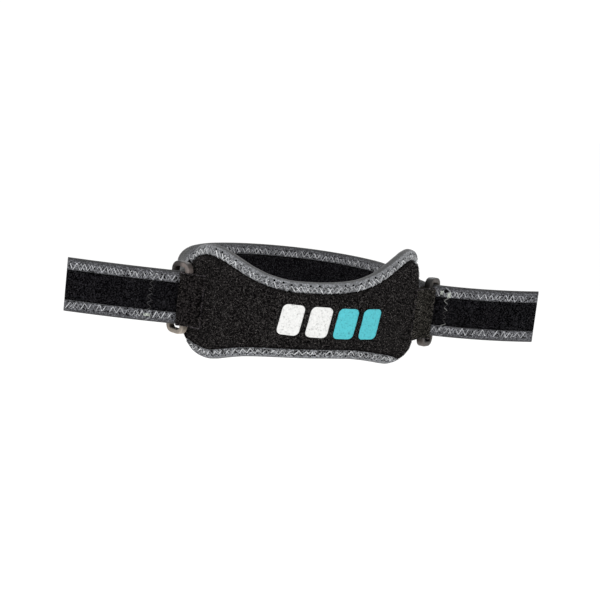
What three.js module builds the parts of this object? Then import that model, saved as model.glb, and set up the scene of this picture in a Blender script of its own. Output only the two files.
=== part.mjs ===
// Patella strap: a crowned plush-faced pad with bound long edges, a fabric tab
// and a moulded loop at each end of it, and one long bound strap that runs round
// the back, turns through both loops and ends in two free tails.
//
// Millimetres, +Z up. The origin is on the axis of the round hollow, the pad faces
// -Y, and +X points to the right as seen from the front.
// An azimuth (deg) is measured in plan from -Y towards +X.
import * as THREE from 'three';

// ---------------------------------------------------------------- dimensions
const HOLLOW_R = 55.0;        // radius of the round hollow, the inside of every wall

const PAD_MID = 7.0;          // pad thickness in the middle of its height
const PAD_SHOULDER = 4.9;     // pad thickness beside the edge binding
const CROWN = 4.5;            // how full the crown is towards the bindings (2 is a parabola)
const BOUND_EDGE = 4.6;       // thickness over the bound edge of the pad

const STRAP_W = 25.4;         // strap width, binding included
const STRAP_T = 3.6;          // strap thickness over its binding
const STRAP_CORE_T = 3.0;     // strap thickness between its bindings
const STRAP_BIND_W = 5.6;     // height of the binding on the strap's faces
const TAIL_LENGTH = 50.0;     // free tail, measured from the rear bar of its loop

const TAPE_WALL = 1.0;        // wall of a folded edge binding
const CLEAR = 0.3;            // gap between touching pieces

const LOOP_LONG = 34.3;       // outer length of a moulded loop
const LOOP_SHORT = 11.6;      // outer width of a moulded loop
const LOOP_BAR = 2.4;         // bar width, in the plane of the loop
const LOOP_DEPTH = 3.6;       // bar depth, across the plane of the loop
const LOOP_CORNER = 3.9;      // outer corner radius
const LOOP_EDGE = 0.5;        // rounding of the moulded edges

const TAB_W = 25.0;           // tab width along the loop's bars
const TAB_T = 1.3;            // one layer of tab fabric
const HOOK_T = 1.4;           // hook patch on the far side of each tail
const HOOK_W = 23.6;

// The two sides. x, y, z is the loop's centre, turn the way the loop's short side
// points (deg, from the plane facing the front), lean how far its top tips towards
// +X, seam the azimuth where the tab is sewn on, tailTurn how far the tail points
// forwards (deg), strapZ the height of the strap's middle where it turns through
// the loop, tailRise how much the tail's tip rises, and seamStart how far from the
// rear bar the hook patch begins.
const SIDES = {
  left:  { x: -52.6, y: -39.7, z: 2.95, turn: 42.0, lean: 0.65, seam: -41.0, tailTurn: 4.0, strapZ: 3.0, tailRise: 0.9, seamStart: 9.4 },
  right: { x: 67.6, y: -6.6, z: 4.4, turn: 60.0, lean: 4.6, seam: 69.0, tailTurn: 2.0, strapZ: 5.55, tailRise: 2.7, seamStart: 4.6 },
};

// Pad outline, one row for each station round the hollow:
// az (deg), top edge, bottom edge (heights above the origin)
const PAD_OUTLINE = [
  [-61.5, 13.0, -9.0],
  [-60.9, 17.2, -12.9],
  [-59.6, 20.6, -15.4],
  [-57.6, 23.4, -17.2],
  [-55.0, 25.9, -18.9],
  [-51.0, 28.3, -20.8],
  [-47.0, 29.6, -22.4],
  [-43.0, 30.1, -23.2],
  [-39.0, 29.8, -23.4],
  [-34.0, 28.8, -22.6],
  [-27.0, 26.3, -20.6],
  [-19.0, 23.1, -18.6],
  [-10.0, 20.5, -17.3],
  [0.0, 19.3, -16.4],
  [10.0, 19.6, -15.8],
  [20.0, 20.4, -15.3],
  [29.0, 21.8, -15.2],
  [37.0, 24.3, -15.9],
  [44.0, 27.6, -17.0],
  [50.0, 30.7, -18.1],
  [56.0, 33.5, -18.9],
  [61.0, 35.3, -18.9],
  [66.0, 36.0, -18.3],
  [71.0, 35.3, -17.6],
  [76.0, 33.4, -17.0],
  [80.5, 30.4, -16.0],
  [84.0, 26.6, -13.6],
  [86.5, 22.4, -10.0],
  [88.0, 16.0, -4.0],
];

// Pad thickness near its two short ends: distance from the end (mm), share of
// the full thickness on the left, on the right
const END_TAPER = [
  [0.0, 0.36, 0.50],
  [1.2, 0.45, 0.68],
  [3.4, 0.57, 0.84],
  [5.0, 0.67, 0.89],
  [8.5, 0.81, 0.955],
  [14.0, 0.93, 0.99],
  [22.0, 1.0, 1.0],
];

// Where each pad binding runs (deg), its height on the pad's face and at its ends (mm)
const PAD_BINDINGS = {
  top:    { from: -59.6, to: 80.5, width: 4.9, endWidthFrom: 3.2, endWidthTo: 4.5 },
  bottom: { from: -55.0, to: 64.0, width: 4.4, endWidthFrom: 2.0, endWidthTo: 1.8 },
};
const BIND_TAPER = 9.0;       // length over which a pad binding narrows (mm)

// Height of the strap's middle round the back: azimuth, counted on past 180
// from the left loop (negative) to the right one, and height
const BACK_HEIGHTS = [
  [-60.0, 3.0],
  [-74.0, 3.4],
  [-88.0, 4.8],
  [-100.0, 6.9],
  [-112.0, 8.2],
  [-130.0, 8.8],
  [-180.0, 9.0],
  [-225.0, 8.6],
  [-250.0, 7.2],
  [-264.0, 6.0],
  [-272.0, 5.55],
];

// ------------------------------------------------------------------- helpers
const rad = THREE.MathUtils.degToRad;
const deg = THREE.MathUtils.radToDeg;

// value of a table's column at x, smooth through the rows (monotone cubic)
function column(table, col, x) {
  const up = table[table.length - 1][0] > table[0][0];
  const rows = up ? table : table.slice().reverse();
  const n = rows.length;
  if (x <= rows[0][0]) return rows[0][col];
  if (x >= rows[n - 1][0]) return rows[n - 1][col];
  let i = 0;
  while (x > rows[i + 1][0]) i++;
  const slope = (k) => (rows[k + 1][col] - rows[k][col]) / (rows[k + 1][0] - rows[k][0]);
  const tangent = (k) => {
    if (k === 0) return slope(0);
    if (k === n - 1) return slope(n - 2);
    const a = slope(k - 1), b = slope(k);
    return a * b <= 0 ? 0 : (2 * a * b) / (a + b);
  };
  const h = rows[i + 1][0] - rows[i][0];
  const t = (x - rows[i][0]) / h;
  const y0 = rows[i][col], y1 = rows[i + 1][col];
  return (2 * t ** 3 - 3 * t * t + 1) * y0 + (t ** 3 - 2 * t * t + t) * h * tangent(i)
    + (3 * t * t - 2 * t ** 3) * y1 + (t ** 3 - t * t) * h * tangent(i + 1);
}

function onHollow(az, r, z) {
  return new THREE.Vector3(r * Math.sin(rad(az)), -r * Math.cos(rad(az)), z);
}

// closed body through a row of closed rings of points, with flat ends whose
// triangles come from the flat outline (u, v) of the first and last ring
function loft(rings, firstFlat, lastFlat = firstFlat) {
  const m = rings[0].length;
  const pos = [];
  for (const ring of rings) for (const p of ring) pos.push(p.x, p.y, p.z);
  const index = [];
  for (let i = 0; i + 1 < rings.length; i++) {
    for (let j = 0; j < m; j++) {
      const a = i * m + j, b = i * m + ((j + 1) % m), c = a + m, d = b + m;
      index.push(a, b, d, a, d, c);
    }
  }
  const cap = (flat, base, reverse) => {
    const outline = flat.map(([u, v]) => new THREE.Vector2(u, v));
    const ccw = THREE.ShapeUtils.area(outline) > 0;
    for (const [a, b, c] of THREE.ShapeUtils.triangulateShape(outline, [])) {
      const t = reverse === ccw ? [a, c, b] : [a, b, c];
      index.push(base + t[0], base + t[1], base + t[2]);
    }
  };
  cap(firstFlat, 0, true);
  cap(lastFlat, (rings.length - 1) * m, false);
  const g = new THREE.BufferGeometry();
  g.setAttribute('position', new THREE.Float32BufferAttribute(pos, 3));
  g.setIndex(index);
  return facesOut(g);
}

// turns a closed body's faces outwards
function facesOut(g) {
  const p = g.attributes.position, ix = g.index.array;
  let vol = 0;
  const a = new THREE.Vector3(), b = new THREE.Vector3(), c = new THREE.Vector3();
  for (let i = 0; i < ix.length; i += 3) {
    a.fromBufferAttribute(p, ix[i]);
    b.fromBufferAttribute(p, ix[i + 1]);
    c.fromBufferAttribute(p, ix[i + 2]);
    vol += a.dot(b.clone().cross(c));
  }
  if (vol < 0) for (let i = 0; i < ix.length; i += 3) [ix[i + 1], ix[i + 2]] = [ix[i + 2], ix[i + 1]];
  g.computeVertexNormals();
  return g;
}

function piece(name, geometry, color, roughness) {
  const material = new THREE.MeshStandardMaterial({ color, roughness, metalness: 0 });
  const mesh = new THREE.Mesh(geometry, material);
  mesh.name = name;
  return mesh;
}

// ----------------------------------------------------------------------- pad
const AZ_FIRST = PAD_OUTLINE[0][0];
const AZ_LAST = PAD_OUTLINE[PAD_OUTLINE.length - 1][0];
const MM_PER_DEG = rad(1) * (HOLLOW_R + 4);

const padTop = (az) => column(PAD_OUTLINE, 1, az);
const padBottom = (az) => column(PAD_OUTLINE, 2, az);

// one over the cosine of the edge's slope: turns a width square to the edge
// into a height at one azimuth
function steepness(edge, az) {
  const s = (edge(az + 0.6) - edge(az - 0.6)) / (1.2 * MM_PER_DEG);
  return Math.min(Math.sqrt(1 + s * s), 2.2);
}

// stations of the pad: the outline's rows, with one more between wide ones
function padStations() {
  const out = [];
  for (let i = 0; i + 1 < PAD_OUTLINE.length; i++) {
    const [a] = PAD_OUTLINE[i], [b] = PAD_OUTLINE[i + 1];
    out.push(a);
    if (b - a > 5.5) out.push((a + b) / 2);
  }
  out.push(AZ_LAST);
  return out;
}

// share of the full thickness at this azimuth
function taper(az) {
  const left = column(END_TAPER, 1, (az - AZ_FIRST) * MM_PER_DEG);
  const right = column(END_TAPER, 2, (AZ_LAST - az) * MM_PER_DEG);
  return Math.min(left, right);
}

// 1 where the edge is bound, 0 past the binding's ends
function bound(run, az) {
  const margin = 0.55;
  return az >= run.from - margin && az <= run.to + margin ? 1 : 0;
}

function bindWidth(run, az) {
  const dFrom = (az - run.from) * MM_PER_DEG, dTo = (run.to - az) * MM_PER_DEG;
  const a = run.endWidthFrom + (run.width - run.endWidthFrom) * Math.min(1, dFrom / BIND_TAPER);
  const b = run.endWidthTo + (run.width - run.endWidthTo) * Math.min(1, dTo / BIND_TAPER);
  return Math.min(a, b);
}

// the bound edge thins near the pad's short ends with the pad
function boundThickness(az) {
  return Math.max(3.9, BOUND_EDGE * Math.min(1, taper(az) * 1.12));
}

// outline of the pad's section at one azimuth, as (r, z) pairs
function padSection(az) {
  const zt = padTop(az), zb = padBottom(az), k = taper(az);
  const mid = PAD_MID * k, shoulder = Math.min(PAD_SHOULDER * Math.min(1, k * 1.1), mid - 0.15);
  const edges = [
    { run: PAD_BINDINGS.bottom, edge: zb, sign: 1, st: steepness(padBottom, az) },
    { run: PAD_BINDINGS.top, edge: zt, sign: -1, st: steepness(padTop, az) },
  ].map(({ run, edge, sign, st }) => {
    const on = bound(run, az);
    const lip = on ? (TAPE_WALL + CLEAR) * st : 0;
    const under = on ? (bindWidth(run, Math.max(run.from, Math.min(run.to, az))) + CLEAR) * st : 1.0;
    const rIn = on ? HOLLOW_R + TAPE_WALL + CLEAR : HOLLOW_R + 0.35;
    const rOut = on ? HOLLOW_R + boundThickness(az) - TAPE_WALL - CLEAR : HOLLOW_R + Math.max(1.7, shoulder * 0.62);
    return { z0: edge + sign * lip, z1: edge + sign * under, z2: edge + sign * (under + 0.6 * st), rIn, rOut };
  });
  const [b, t] = edges;
  const crown = [];
  const rows = [0.0, 0.06, 0.16, 0.32, 0.5, 0.68, 0.84, 0.94, 1.0];
  for (const w of rows) {
    const z = t.z2 + (b.z2 - t.z2) * w;
    const bulge = 1 - Math.abs(2 * w - 1) ** CROWN;
    crown.push([HOLLOW_R + shoulder + (mid - shoulder) * bulge, z]);
  }
  return [
    [b.rIn, b.z0], [b.rIn, b.z1], [HOLLOW_R, b.z2],
    [HOLLOW_R, t.z2], [t.rIn, t.z1], [t.rIn, t.z0],
    [t.rOut, t.z0], [t.rOut, t.z1],
    ...crown,
    [b.rOut, b.z1], [b.rOut, b.z0],
  ];
}

function padGeometry() {
  const stations = padStations();
  const extra = [];
  for (const run of Object.values(PAD_BINDINGS)) extra.push(run.from - 0.55, run.from - 0.95, run.to + 0.55, run.to + 0.95);
  const all = [...new Set([...stations, ...extra])].filter((a) => a >= AZ_FIRST && a <= AZ_LAST).sort((p, q) => p - q);
  const sections = all.map(padSection);
  const rings = sections.map((s, i) => s.map(([r, z]) => onHollow(all[i], r, z)));
  return loft(rings, sections[0], sections[sections.length - 1]);
}

// a tape folded over the pad's edge, open towards the pad
function padBindingGeometry(which) {
  const run = PAD_BINDINGS[which];
  const edge = which === 'top' ? padTop : padBottom;
  const s = which === 'top' ? -1 : 1;
  const inside = padStations().filter((a) => a > run.from + 0.4 && a < run.to - 0.4);
  const all = [run.from, ...inside, run.to];
  const sections = all.map((az) => {
    const z = edge(az), st = steepness(edge, az);
    const w = bindWidth(run, az) * st, wall = TAPE_WALL * st;
    const r0 = HOLLOW_R, r1 = HOLLOW_R + boundThickness(az);
    return [
      [r0, z + s * w], [r0, z + s * 1.5 * st], [r0 + 0.6, z + s * 0.45 * st], [r0 + 1.5, z],
      [r1 - 1.5, z], [r1 - 0.6, z + s * 0.45 * st], [r1, z + s * 1.5 * st], [r1, z + s * w],
      [r1 - TAPE_WALL, z + s * w], [r1 - TAPE_WALL, z + s * wall],
      [r0 + TAPE_WALL, z + s * wall], [r0 + TAPE_WALL, z + s * w],
    ];
  });
  const rings = sections.map((sec, i) => sec.map(([r, z]) => onHollow(all[i], r, z)));
  return loft(rings, sections[0], sections[sections.length - 1]);
}

// --------------------------------------------------------------------- loops
// frame of a loop: b runs from its front bar to its rear bar, n faces out from
// the hollow, a runs up along its bars
function loopFrame(side) {
  const s = SIDES[side], sign = side === 'left' ? -1 : 1;
  const bFlat = new THREE.Vector3(sign * Math.cos(rad(s.turn)), Math.sin(rad(s.turn)), 0);
  const lean = new THREE.Vector3(Math.tan(rad(s.lean)), 0, 1);
  // the bars lean within the loop's own plane
  const n = new THREE.Vector3(sign * bFlat.y, -sign * bFlat.x, 0).normalize();
  const a = lean.clone().addScaledVector(n, -lean.dot(n)).normalize();
  const b = new THREE.Vector3().crossVectors(n, a).normalize();
  if (b.dot(bFlat) < 0) b.negate();
  const c = new THREE.Vector3(s.x, s.y, s.z);
  const reach = (LOOP_SHORT - LOOP_BAR) / 2;
  return {
    a, b, n, c, sign,
    front: c.clone().addScaledVector(b, -reach),
    rear: c.clone().addScaledVector(b, reach),
  };
}

function roundedRect(target, w, h, r, steps) {
  const corners = [[w / 2 - r, h / 2 - r, 0], [-w / 2 + r, h / 2 - r, 90], [-w / 2 + r, -h / 2 + r, 180], [w / 2 - r, -h / 2 + r, 270]];
  let first = true;
  for (const [cx, cy, start] of corners) {
    for (let i = 0; i <= steps; i++) {
      const t = rad(start + (90 * i) / steps);
      const x = cx + r * Math.cos(t), y = cy + r * Math.sin(t);
      if (first) { target.moveTo(x, y); first = false; } else target.lineTo(x, y);
    }
  }
  target.closePath();
  return target;
}

// moulded rectangular loop with rounded corners and edges
function loopGeometry(side) {
  const f = loopFrame(side), e = LOOP_EDGE;
  const shape = roundedRect(new THREE.Shape(), LOOP_SHORT - 2 * e, LOOP_LONG - 2 * e, LOOP_CORNER - e, 5);
  const slot = roundedRect(new THREE.Path(), LOOP_SHORT - 2 * LOOP_BAR + 2 * e, LOOP_LONG - 2 * LOOP_BAR + 2 * e, LOOP_CORNER - LOOP_BAR + e, 4);
  shape.holes.push(slot);
  const g = new THREE.ExtrudeGeometry(shape, {
    depth: LOOP_DEPTH - 2 * e, bevelEnabled: true, bevelThickness: e, bevelSize: e, bevelSegments: 2, steps: 1, curveSegments: 4,
  });
  g.translate(0, 0, -(LOOP_DEPTH - 2 * e) / 2);
  const m = new THREE.Matrix4().makeBasis(f.b, f.a, new THREE.Vector3().crossVectors(f.b, f.a));
  m.setPosition(f.c);
  g.applyMatrix4(m);
  return g;
}

// ---------------------------------------------------------------------- tabs
// fabric folded round the front bar, its two layers sewn together on the pad
function tabGeometry(side) {
  const f = loopFrame(side), s = SIDES[side];
  const flat = (v) => new THREE.Vector2(v.x, v.y);
  const F = flat(f.front), B = flat(f.b).normalize(), N = flat(f.n).normalize();
  const hb = LOOP_BAR / 2 + CLEAR, hn = LOOP_DEPTH / 2 + CLEAR;
  const at = (u, v) => F.clone().addScaledVector(B, u).addScaledVector(N, v);
  const polar = (az, r) => new THREE.Vector2(r * Math.sin(rad(az)), -r * Math.cos(rad(az)));
  const towardsSeam = side === 'left' ? 1 : -1;
  const padR = (az) => HOLLOW_R + PAD_MID * taper(az) + CLEAR;
  const barAz = deg(Math.atan2(F.x, -F.y));
  const run = Math.abs(s.seam - barAz);
  const outline = [];
  // sewn end, then the outer layer from the seam to the bar
  outline.push(polar(s.seam, padR(s.seam) + 0.1));
  outline.push(polar(s.seam + 0.15 * towardsSeam, padR(s.seam) + 1.3));
  outline.push(polar(s.seam - 0.25 * run * towardsSeam, padR(s.seam) + 2.3));
  outline.push(polar(s.seam - 0.55 * run * towardsSeam, padR(s.seam) + 2.9));
  // round the bar
  const R = TAB_T;
  const arcs = [[hb - 0.5, hn - 0.5, 90, 0], [hb - 0.5, -hn + 0.5, 0, -90]];
  outline.push(at(-hb * 0.4, hn + R));
  for (const [u, v, from, to] of arcs) {
    for (let i = 0; i <= 4; i++) {
      const t = rad(from + ((to - from) * i) / 4);
      outline.push(at(u + (R + 0.5) * Math.cos(t), v + (R + 0.5) * Math.sin(t)));
    }
  }
  outline.push(at(-hb * 0.4, -hn - R));
  // the under layer back to the seam, close over the pad
  for (const k of [0.62, 0.36]) {
    const az = s.seam - k * run * towardsSeam;
    outline.push(polar(az, Math.max(padR(az) + 0.15, padR(s.seam) - 0.3)));
  }
  const shape = new THREE.Shape(outline);
  const hole = new THREE.Path();
  roundedRect(hole, 2 * hb, 2 * hn, 0.6, 2);
  const pts = hole.getPoints().map((p) => at(p.x, p.y));
  shape.holes.push(new THREE.Path(pts));
  const g = new THREE.ExtrudeGeometry(shape, { depth: TAB_W, bevelEnabled: false, steps: 4, curveSegments: 2 });
  g.translate(0, 0, -TAB_W / 2);
  // the layers follow the bar's lean
  const p = g.attributes.position;
  for (let i = 0; i < p.count; i++) {
    const h = p.getZ(i);
    p.setXYZ(i, p.getX(i) + (h * f.a.x) / f.a.z, p.getY(i) + (h * f.a.y) / f.a.z, s.z + h);
  }
  g.deleteAttribute('normal');
  g.computeVertexNormals();
  return g;
}

// --------------------------------------------------------------------- strap
const STRAP_R = HOLLOW_R + STRAP_T / 2;                 // middle of the strap round the back
const TURN_R = 2.3 + STRAP_T / 2;                       // middle of the strap round a rear bar, clear of its edges

// The half of the route from the back's straight run to the tail's tip on one
// side, as stations { x, y, nx, ny, w } in plan; w is how much the section leans
// with the loop. The normal points away from the hollow.
function halfRoute(side) {
  const f = loopFrame(side), s = SIDES[side], sign = f.sign;
  const P = new THREE.Vector2(f.rear.x, f.rear.y);
  const d = P.length();
  const azP = deg(Math.atan2(P.x, -P.y));
  const alpha = deg(Math.acos((STRAP_R + TURN_R) / d));
  const azLeave = azP + sign * alpha;                   // where the strap leaves the hollow
  const out = [];
  // heading in plan when travelling forwards off the hollow
  const h0 = new THREE.Vector2(Math.cos(rad(azLeave)), Math.sin(rad(azLeave))).multiplyScalar(-sign);
  const start = new THREE.Vector2(STRAP_R * Math.sin(rad(azLeave)), -STRAP_R * Math.cos(rad(azLeave)));
  const run = Math.sqrt(d * d - (STRAP_R + TURN_R) ** 2);
  const normalOf = (h) => new THREE.Vector2(-h.y, h.x).multiplyScalar(sign);
  for (const t of [0.25, 0.5, 0.75]) {
    const q = start.clone().addScaledVector(h0, run * t);
    out.push({ q, n: normalOf(h0), lean: t * t });
  }
  // round the rear bar, outwards
  const hTail = new THREE.Vector2(sign * Math.cos(rad(s.tailTurn)), -Math.sin(rad(s.tailTurn)));
  const a0 = Math.atan2(h0.y, h0.x);
  let turn = Math.atan2(hTail.y, hTail.x) - a0;
  while (turn > Math.PI) turn -= 2 * Math.PI;
  while (turn < -Math.PI) turn += 2 * Math.PI;
  const steps = 7;
  for (let i = 0; i <= steps; i++) {
    const t = a0 + (turn * i) / steps;
    const h = new THREE.Vector2(Math.cos(t), Math.sin(t));
    const n = normalOf(h);
    out.push({ q: P.clone().addScaledVector(n, -TURN_R), n, lean: 1 });
  }
  // the tail, very slightly bowed
  const from = out[out.length - 1].q.clone();
  const tailSteps = [0.03, 0.12, 0.26, 0.45, 0.65, 0.83, 1.0];
  for (const t of tailSteps) {
    const q = from.clone().addScaledVector(hTail, TAIL_LENGTH * t);
    out.push({ q, n: normalOf(hTail), lean: Math.max(0, 1 - t * 3), t });
  }
  return { stations: out, azLeave, f };
}

// whole route as stations with middle, thickness direction and width direction
function strapRoute() {
  const L = halfRoute('left'), R = halfRoute('right');
  const stations = [];
  const push = (half, st) => {
    const side = half === L ? 'left' : 'right', s = SIDES[side];
    const az = deg(Math.atan2(st.q.x, -st.q.y));
    const key = side === 'left' ? az : az - 360;
    let z = s.strapZ;
    if (st.t !== undefined) z = s.strapZ + s.tailRise * st.t * st.t;
    else if (st.lean < 1) z = column(BACK_HEIGHTS, 1, key);
    const up = new THREE.Vector3((half.f.a.x / half.f.a.z) * st.lean, (half.f.a.y / half.f.a.z) * st.lean, 1);
    const zOff = z - s.z;
    stations.push({
      m: new THREE.Vector3(st.q.x + up.x * zOff * (st.lean ? 1 : 0), st.q.y + up.y * zOff * (st.lean ? 1 : 0), z),
      n: new THREE.Vector3(st.n.x, st.n.y, 0), up, side, t: st.t,
    });
  };
  for (const st of L.stations.slice().reverse()) push(L, st);
  const from = L.azLeave, to = R.azLeave - 360;
  const n = 28;
  for (let i = 0; i <= n; i++) {
    const az = from + ((to - from) * i) / n;
    stations.push({
      m: onHollow(az, STRAP_R, column(BACK_HEIGHTS, 1, az)),
      n: onHollow(az, 1, 0).setZ(0), up: new THREE.Vector3(0, 0, 1), side: 'back',
    });
  }
  for (const st of R.stations) push(R, st);
  return stations;
}

const ROUTE = strapRoute();

function sweep(section, stations = ROUTE) {
  const rings = stations.map((st) => section.map(([a, b]) => st.m.clone().addScaledVector(st.n, a).addScaledVector(st.up, b)));
  return loft(rings, section);
}

function strapCore() {
  const H = STRAP_W / 2, c = STRAP_CORE_T / 2;
  const thin = STRAP_T / 2 - TAPE_WALL - CLEAR;
  const e0 = H - TAPE_WALL - CLEAR, e1 = H - STRAP_BIND_W - CLEAR, e2 = e1 - 0.6;
  return sweep([
    [-thin, -e0], [-thin, -e1], [-c, -e2], [-c, e2], [-thin, e1], [-thin, e0],
    [thin, e0], [thin, e1], [c, e2], [c, -e2], [thin, -e1], [thin, -e0],
  ]);
}

function strapBinding(sign) {
  const H = STRAP_W / 2, t = STRAP_T / 2;
  const at = (a, b) => [a, sign * b];
  return sweep([
    at(-t, H - STRAP_BIND_W), at(-t, H - 0.9), at(-t + 0.8, H), at(t - 0.8, H), at(t, H - 0.9), at(t, H - STRAP_BIND_W),
    at(t - TAPE_WALL, H - STRAP_BIND_W), at(t - TAPE_WALL, H - TAPE_WALL), at(-t + TAPE_WALL, H - TAPE_WALL), at(-t + TAPE_WALL, H - STRAP_BIND_W),
  ]);
}

// hook patch on the side of a tail that faces back, from its seam to the tip
function hookGeometry(side) {
  const s = SIDES[side], f = loopFrame(side);
  const tail = ROUTE.filter((st) => st.side === side && st.t !== undefined);
  const firstT = s.seamStart / TAIL_LENGTH;
  const sorted = tail.slice().sort((p, q) => p.t - q.t);
  const pick = (t) => {
    let i = 0;
    while (i + 2 < sorted.length && sorted[i + 1].t < t) i++;
    const a = sorted[i], b = sorted[i + 1], k = (t - a.t) / (b.t - a.t);
    return { m: a.m.clone().lerp(b.m, k), n: a.n.clone().lerp(b.n, k), up: a.up.clone().lerp(b.up, k) };
  };
  const ts = [firstT, 0.45, 0.65, 0.83, 0.95];
  const near = STRAP_T / 2 + CLEAR, far = near + HOOK_T, h = HOOK_W / 2, r = 0.5;
  // the far side of the tail is the side that lay outwards round the back
  return sweep([[near, -h], [near, h], [far - r, h], [far, h - r], [far, -h + r], [far - r, -h]], ts.map(pick));
}

// ---------------------------------------------------------------------- model
const COLORS = { plush: '#201f20', tape: '#6b6c72', tab: '#2d2a27', plastic: '#4a423c', strap: '#141416', hook: '#17171a' };

const group = new THREE.Group();
group.add(piece('pad', padGeometry(), COLORS.plush, 0.95));
group.add(piece('pad_binding_top', padBindingGeometry('top'), COLORS.tape, 0.85));
group.add(piece('pad_binding_bottom', padBindingGeometry('bottom'), COLORS.tape, 0.85));
group.add(piece('strap', strapCore(), COLORS.strap, 0.95));
group.add(piece('strap_binding_upper', strapBinding(1), COLORS.tape, 0.85));
group.add(piece('strap_binding_lower', strapBinding(-1), COLORS.tape, 0.85));
for (const side of ['left', 'right']) {
  group.add(piece(`loop_${side}`, loopGeometry(side), COLORS.plastic, 0.5));
  group.add(piece(`tab_${side}`, tabGeometry(side), COLORS.tab, 0.95));
  group.add(piece(`hook_patch_${side}`, hookGeometry(side), COLORS.hook, 0.8));
}

export default group;
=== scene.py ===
"""Patella strap: the looks, in metres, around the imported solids.

The soft pieces are built here in millimetres from the same tables as the solids,
and scaled to metres when their meshes are made. An azimuth (deg) is measured in
plan from -Y towards +X.
"""
import math
import random

import bpy
from mathutils import Matrix, Vector, noise
from mathutils.geometry import tessellate_polygon


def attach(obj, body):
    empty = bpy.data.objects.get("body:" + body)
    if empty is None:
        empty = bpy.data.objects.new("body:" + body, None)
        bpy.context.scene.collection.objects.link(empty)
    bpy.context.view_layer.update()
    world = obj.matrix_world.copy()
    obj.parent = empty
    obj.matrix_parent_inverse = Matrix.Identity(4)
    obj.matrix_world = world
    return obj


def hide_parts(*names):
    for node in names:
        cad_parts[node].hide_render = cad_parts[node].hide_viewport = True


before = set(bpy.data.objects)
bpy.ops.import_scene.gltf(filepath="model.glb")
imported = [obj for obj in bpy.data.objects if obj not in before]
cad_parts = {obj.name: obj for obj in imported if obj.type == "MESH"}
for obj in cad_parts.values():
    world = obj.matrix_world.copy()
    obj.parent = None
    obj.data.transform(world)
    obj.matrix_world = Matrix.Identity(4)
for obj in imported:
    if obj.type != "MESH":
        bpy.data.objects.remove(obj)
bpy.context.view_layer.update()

MM = 0.001
scene = bpy.context.scene
rng = random.Random(11)

# ------------------------------------------------------------------ dimensions
HOLLOW_R = 55.0
CROWN = 4.5
PAD_MID, PAD_SHOULDER = 7.0, 4.9
BOUND_EDGE = 4.6
STRAP_W, STRAP_T, STRAP_CORE_T, STRAP_BIND_W = 25.4, 3.6, 3.0, 5.6
TAIL_LENGTH = 50.0
TAPE_WALL, CLEAR = 1.0, 0.3
LOOP_LONG, LOOP_SHORT, LOOP_BAR, LOOP_DEPTH, LOOP_CORNER = 34.3, 11.6, 2.4, 3.6, 3.9
TAB_W, TAB_T, HOOK_T, HOOK_W = 25.0, 1.3, 1.4, 23.6
SIDES = {
    "left": dict(x=-52.6, y=-39.7, z=2.95, turn=42.0, lean=0.65, seam=-41.0, tailTurn=4.0, strapZ=3.0, tailRise=0.9, seamStart=9.4),
    "right": dict(x=67.6, y=-6.6, z=4.4, turn=60.0, lean=4.6, seam=69.0, tailTurn=2.0, strapZ=5.55, tailRise=2.7, seamStart=4.6),
}
PAD_OUTLINE = [
    (-61.5, 13.0, -9.0), (-60.9, 17.2, -12.9), (-59.6, 20.6, -15.4), (-57.6, 23.4, -17.2), (-55.0, 25.9, -18.9),
    (-51.0, 28.3, -20.8), (-47.0, 29.6, -22.4), (-43.0, 30.1, -23.2), (-39.0, 29.8, -23.4), (-34.0, 28.8, -22.6),
    (-27.0, 26.3, -20.6), (-19.0, 23.1, -18.6), (-10.0, 20.5, -17.3), (0.0, 19.3, -16.4), (10.0, 19.6, -15.8),
    (20.0, 20.4, -15.3), (29.0, 21.8, -15.2), (37.0, 24.3, -15.9), (44.0, 27.6, -17.0), (50.0, 30.7, -18.1),
    (56.0, 33.5, -18.9), (61.0, 35.3, -18.9), (66.0, 36.0, -18.3), (71.0, 35.3, -17.6), (76.0, 33.4, -17.0),
    (80.5, 30.4, -16.0), (84.0, 26.6, -13.6), (86.5, 22.4, -10.0), (88.0, 16.0, -4.0),
]
END_TAPER = [(0.0, 0.36, 0.50), (1.2, 0.45, 0.68), (3.4, 0.57, 0.84), (5.0, 0.67, 0.89), (8.5, 0.81, 0.955), (14.0, 0.93, 0.99), (22.0, 1.0, 1.0)]
PAD_BINDINGS = {
    "top": dict(start=-59.6, end=80.5, width=4.9, w0=3.2, w1=4.5),
    "bottom": dict(start=-55.0, end=64.0, width=4.4, w0=2.0, w1=1.8),
}
BIND_TAPER = 9.0
BACK_HEIGHTS = [(-60.0, 3.0), (-74.0, 3.4), (-88.0, 4.8), (-100.0, 6.9), (-112.0, 8.2), (-130.0, 8.8), (-180.0, 9.0), (-225.0, 8.6), (-250.0, 7.2), (-264.0, 6.0), (-272.0, 5.55)]

rad, deg = math.radians, math.degrees


def smooth(x):
    x = min(1.0, max(0.0, x))
    return x * x * (3 - 2 * x)


def column(table, col, x):
    rows = table if table[-1][0] > table[0][0] else table[::-1]
    if x <= rows[0][0]:
        return rows[0][col]
    if x >= rows[-1][0]:
        return rows[-1][col]
    i = 0
    while x > rows[i + 1][0]:
        i += 1

    def slope(k):
        return (rows[k + 1][col] - rows[k][col]) / (rows[k + 1][0] - rows[k][0])

    def tangent(k):
        if k == 0:
            return slope(0)
        if k == len(rows) - 1:
            return slope(len(rows) - 2)
        a, b = slope(k - 1), slope(k)
        return 0.0 if a * b <= 0 else 2 * a * b / (a + b)

    h = rows[i + 1][0] - rows[i][0]
    t = (x - rows[i][0]) / h
    y0, y1 = rows[i][col], rows[i + 1][col]
    return (2 * t**3 - 3 * t * t + 1) * y0 + (t**3 - 2 * t * t + t) * h * tangent(i) + (3 * t * t - 2 * t**3) * y1 + (t**3 - t * t) * h * tangent(i + 1)


def on_hollow(az, r, z):
    return Vector((r * math.sin(rad(az)), -r * math.cos(rad(az)), z))


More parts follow.
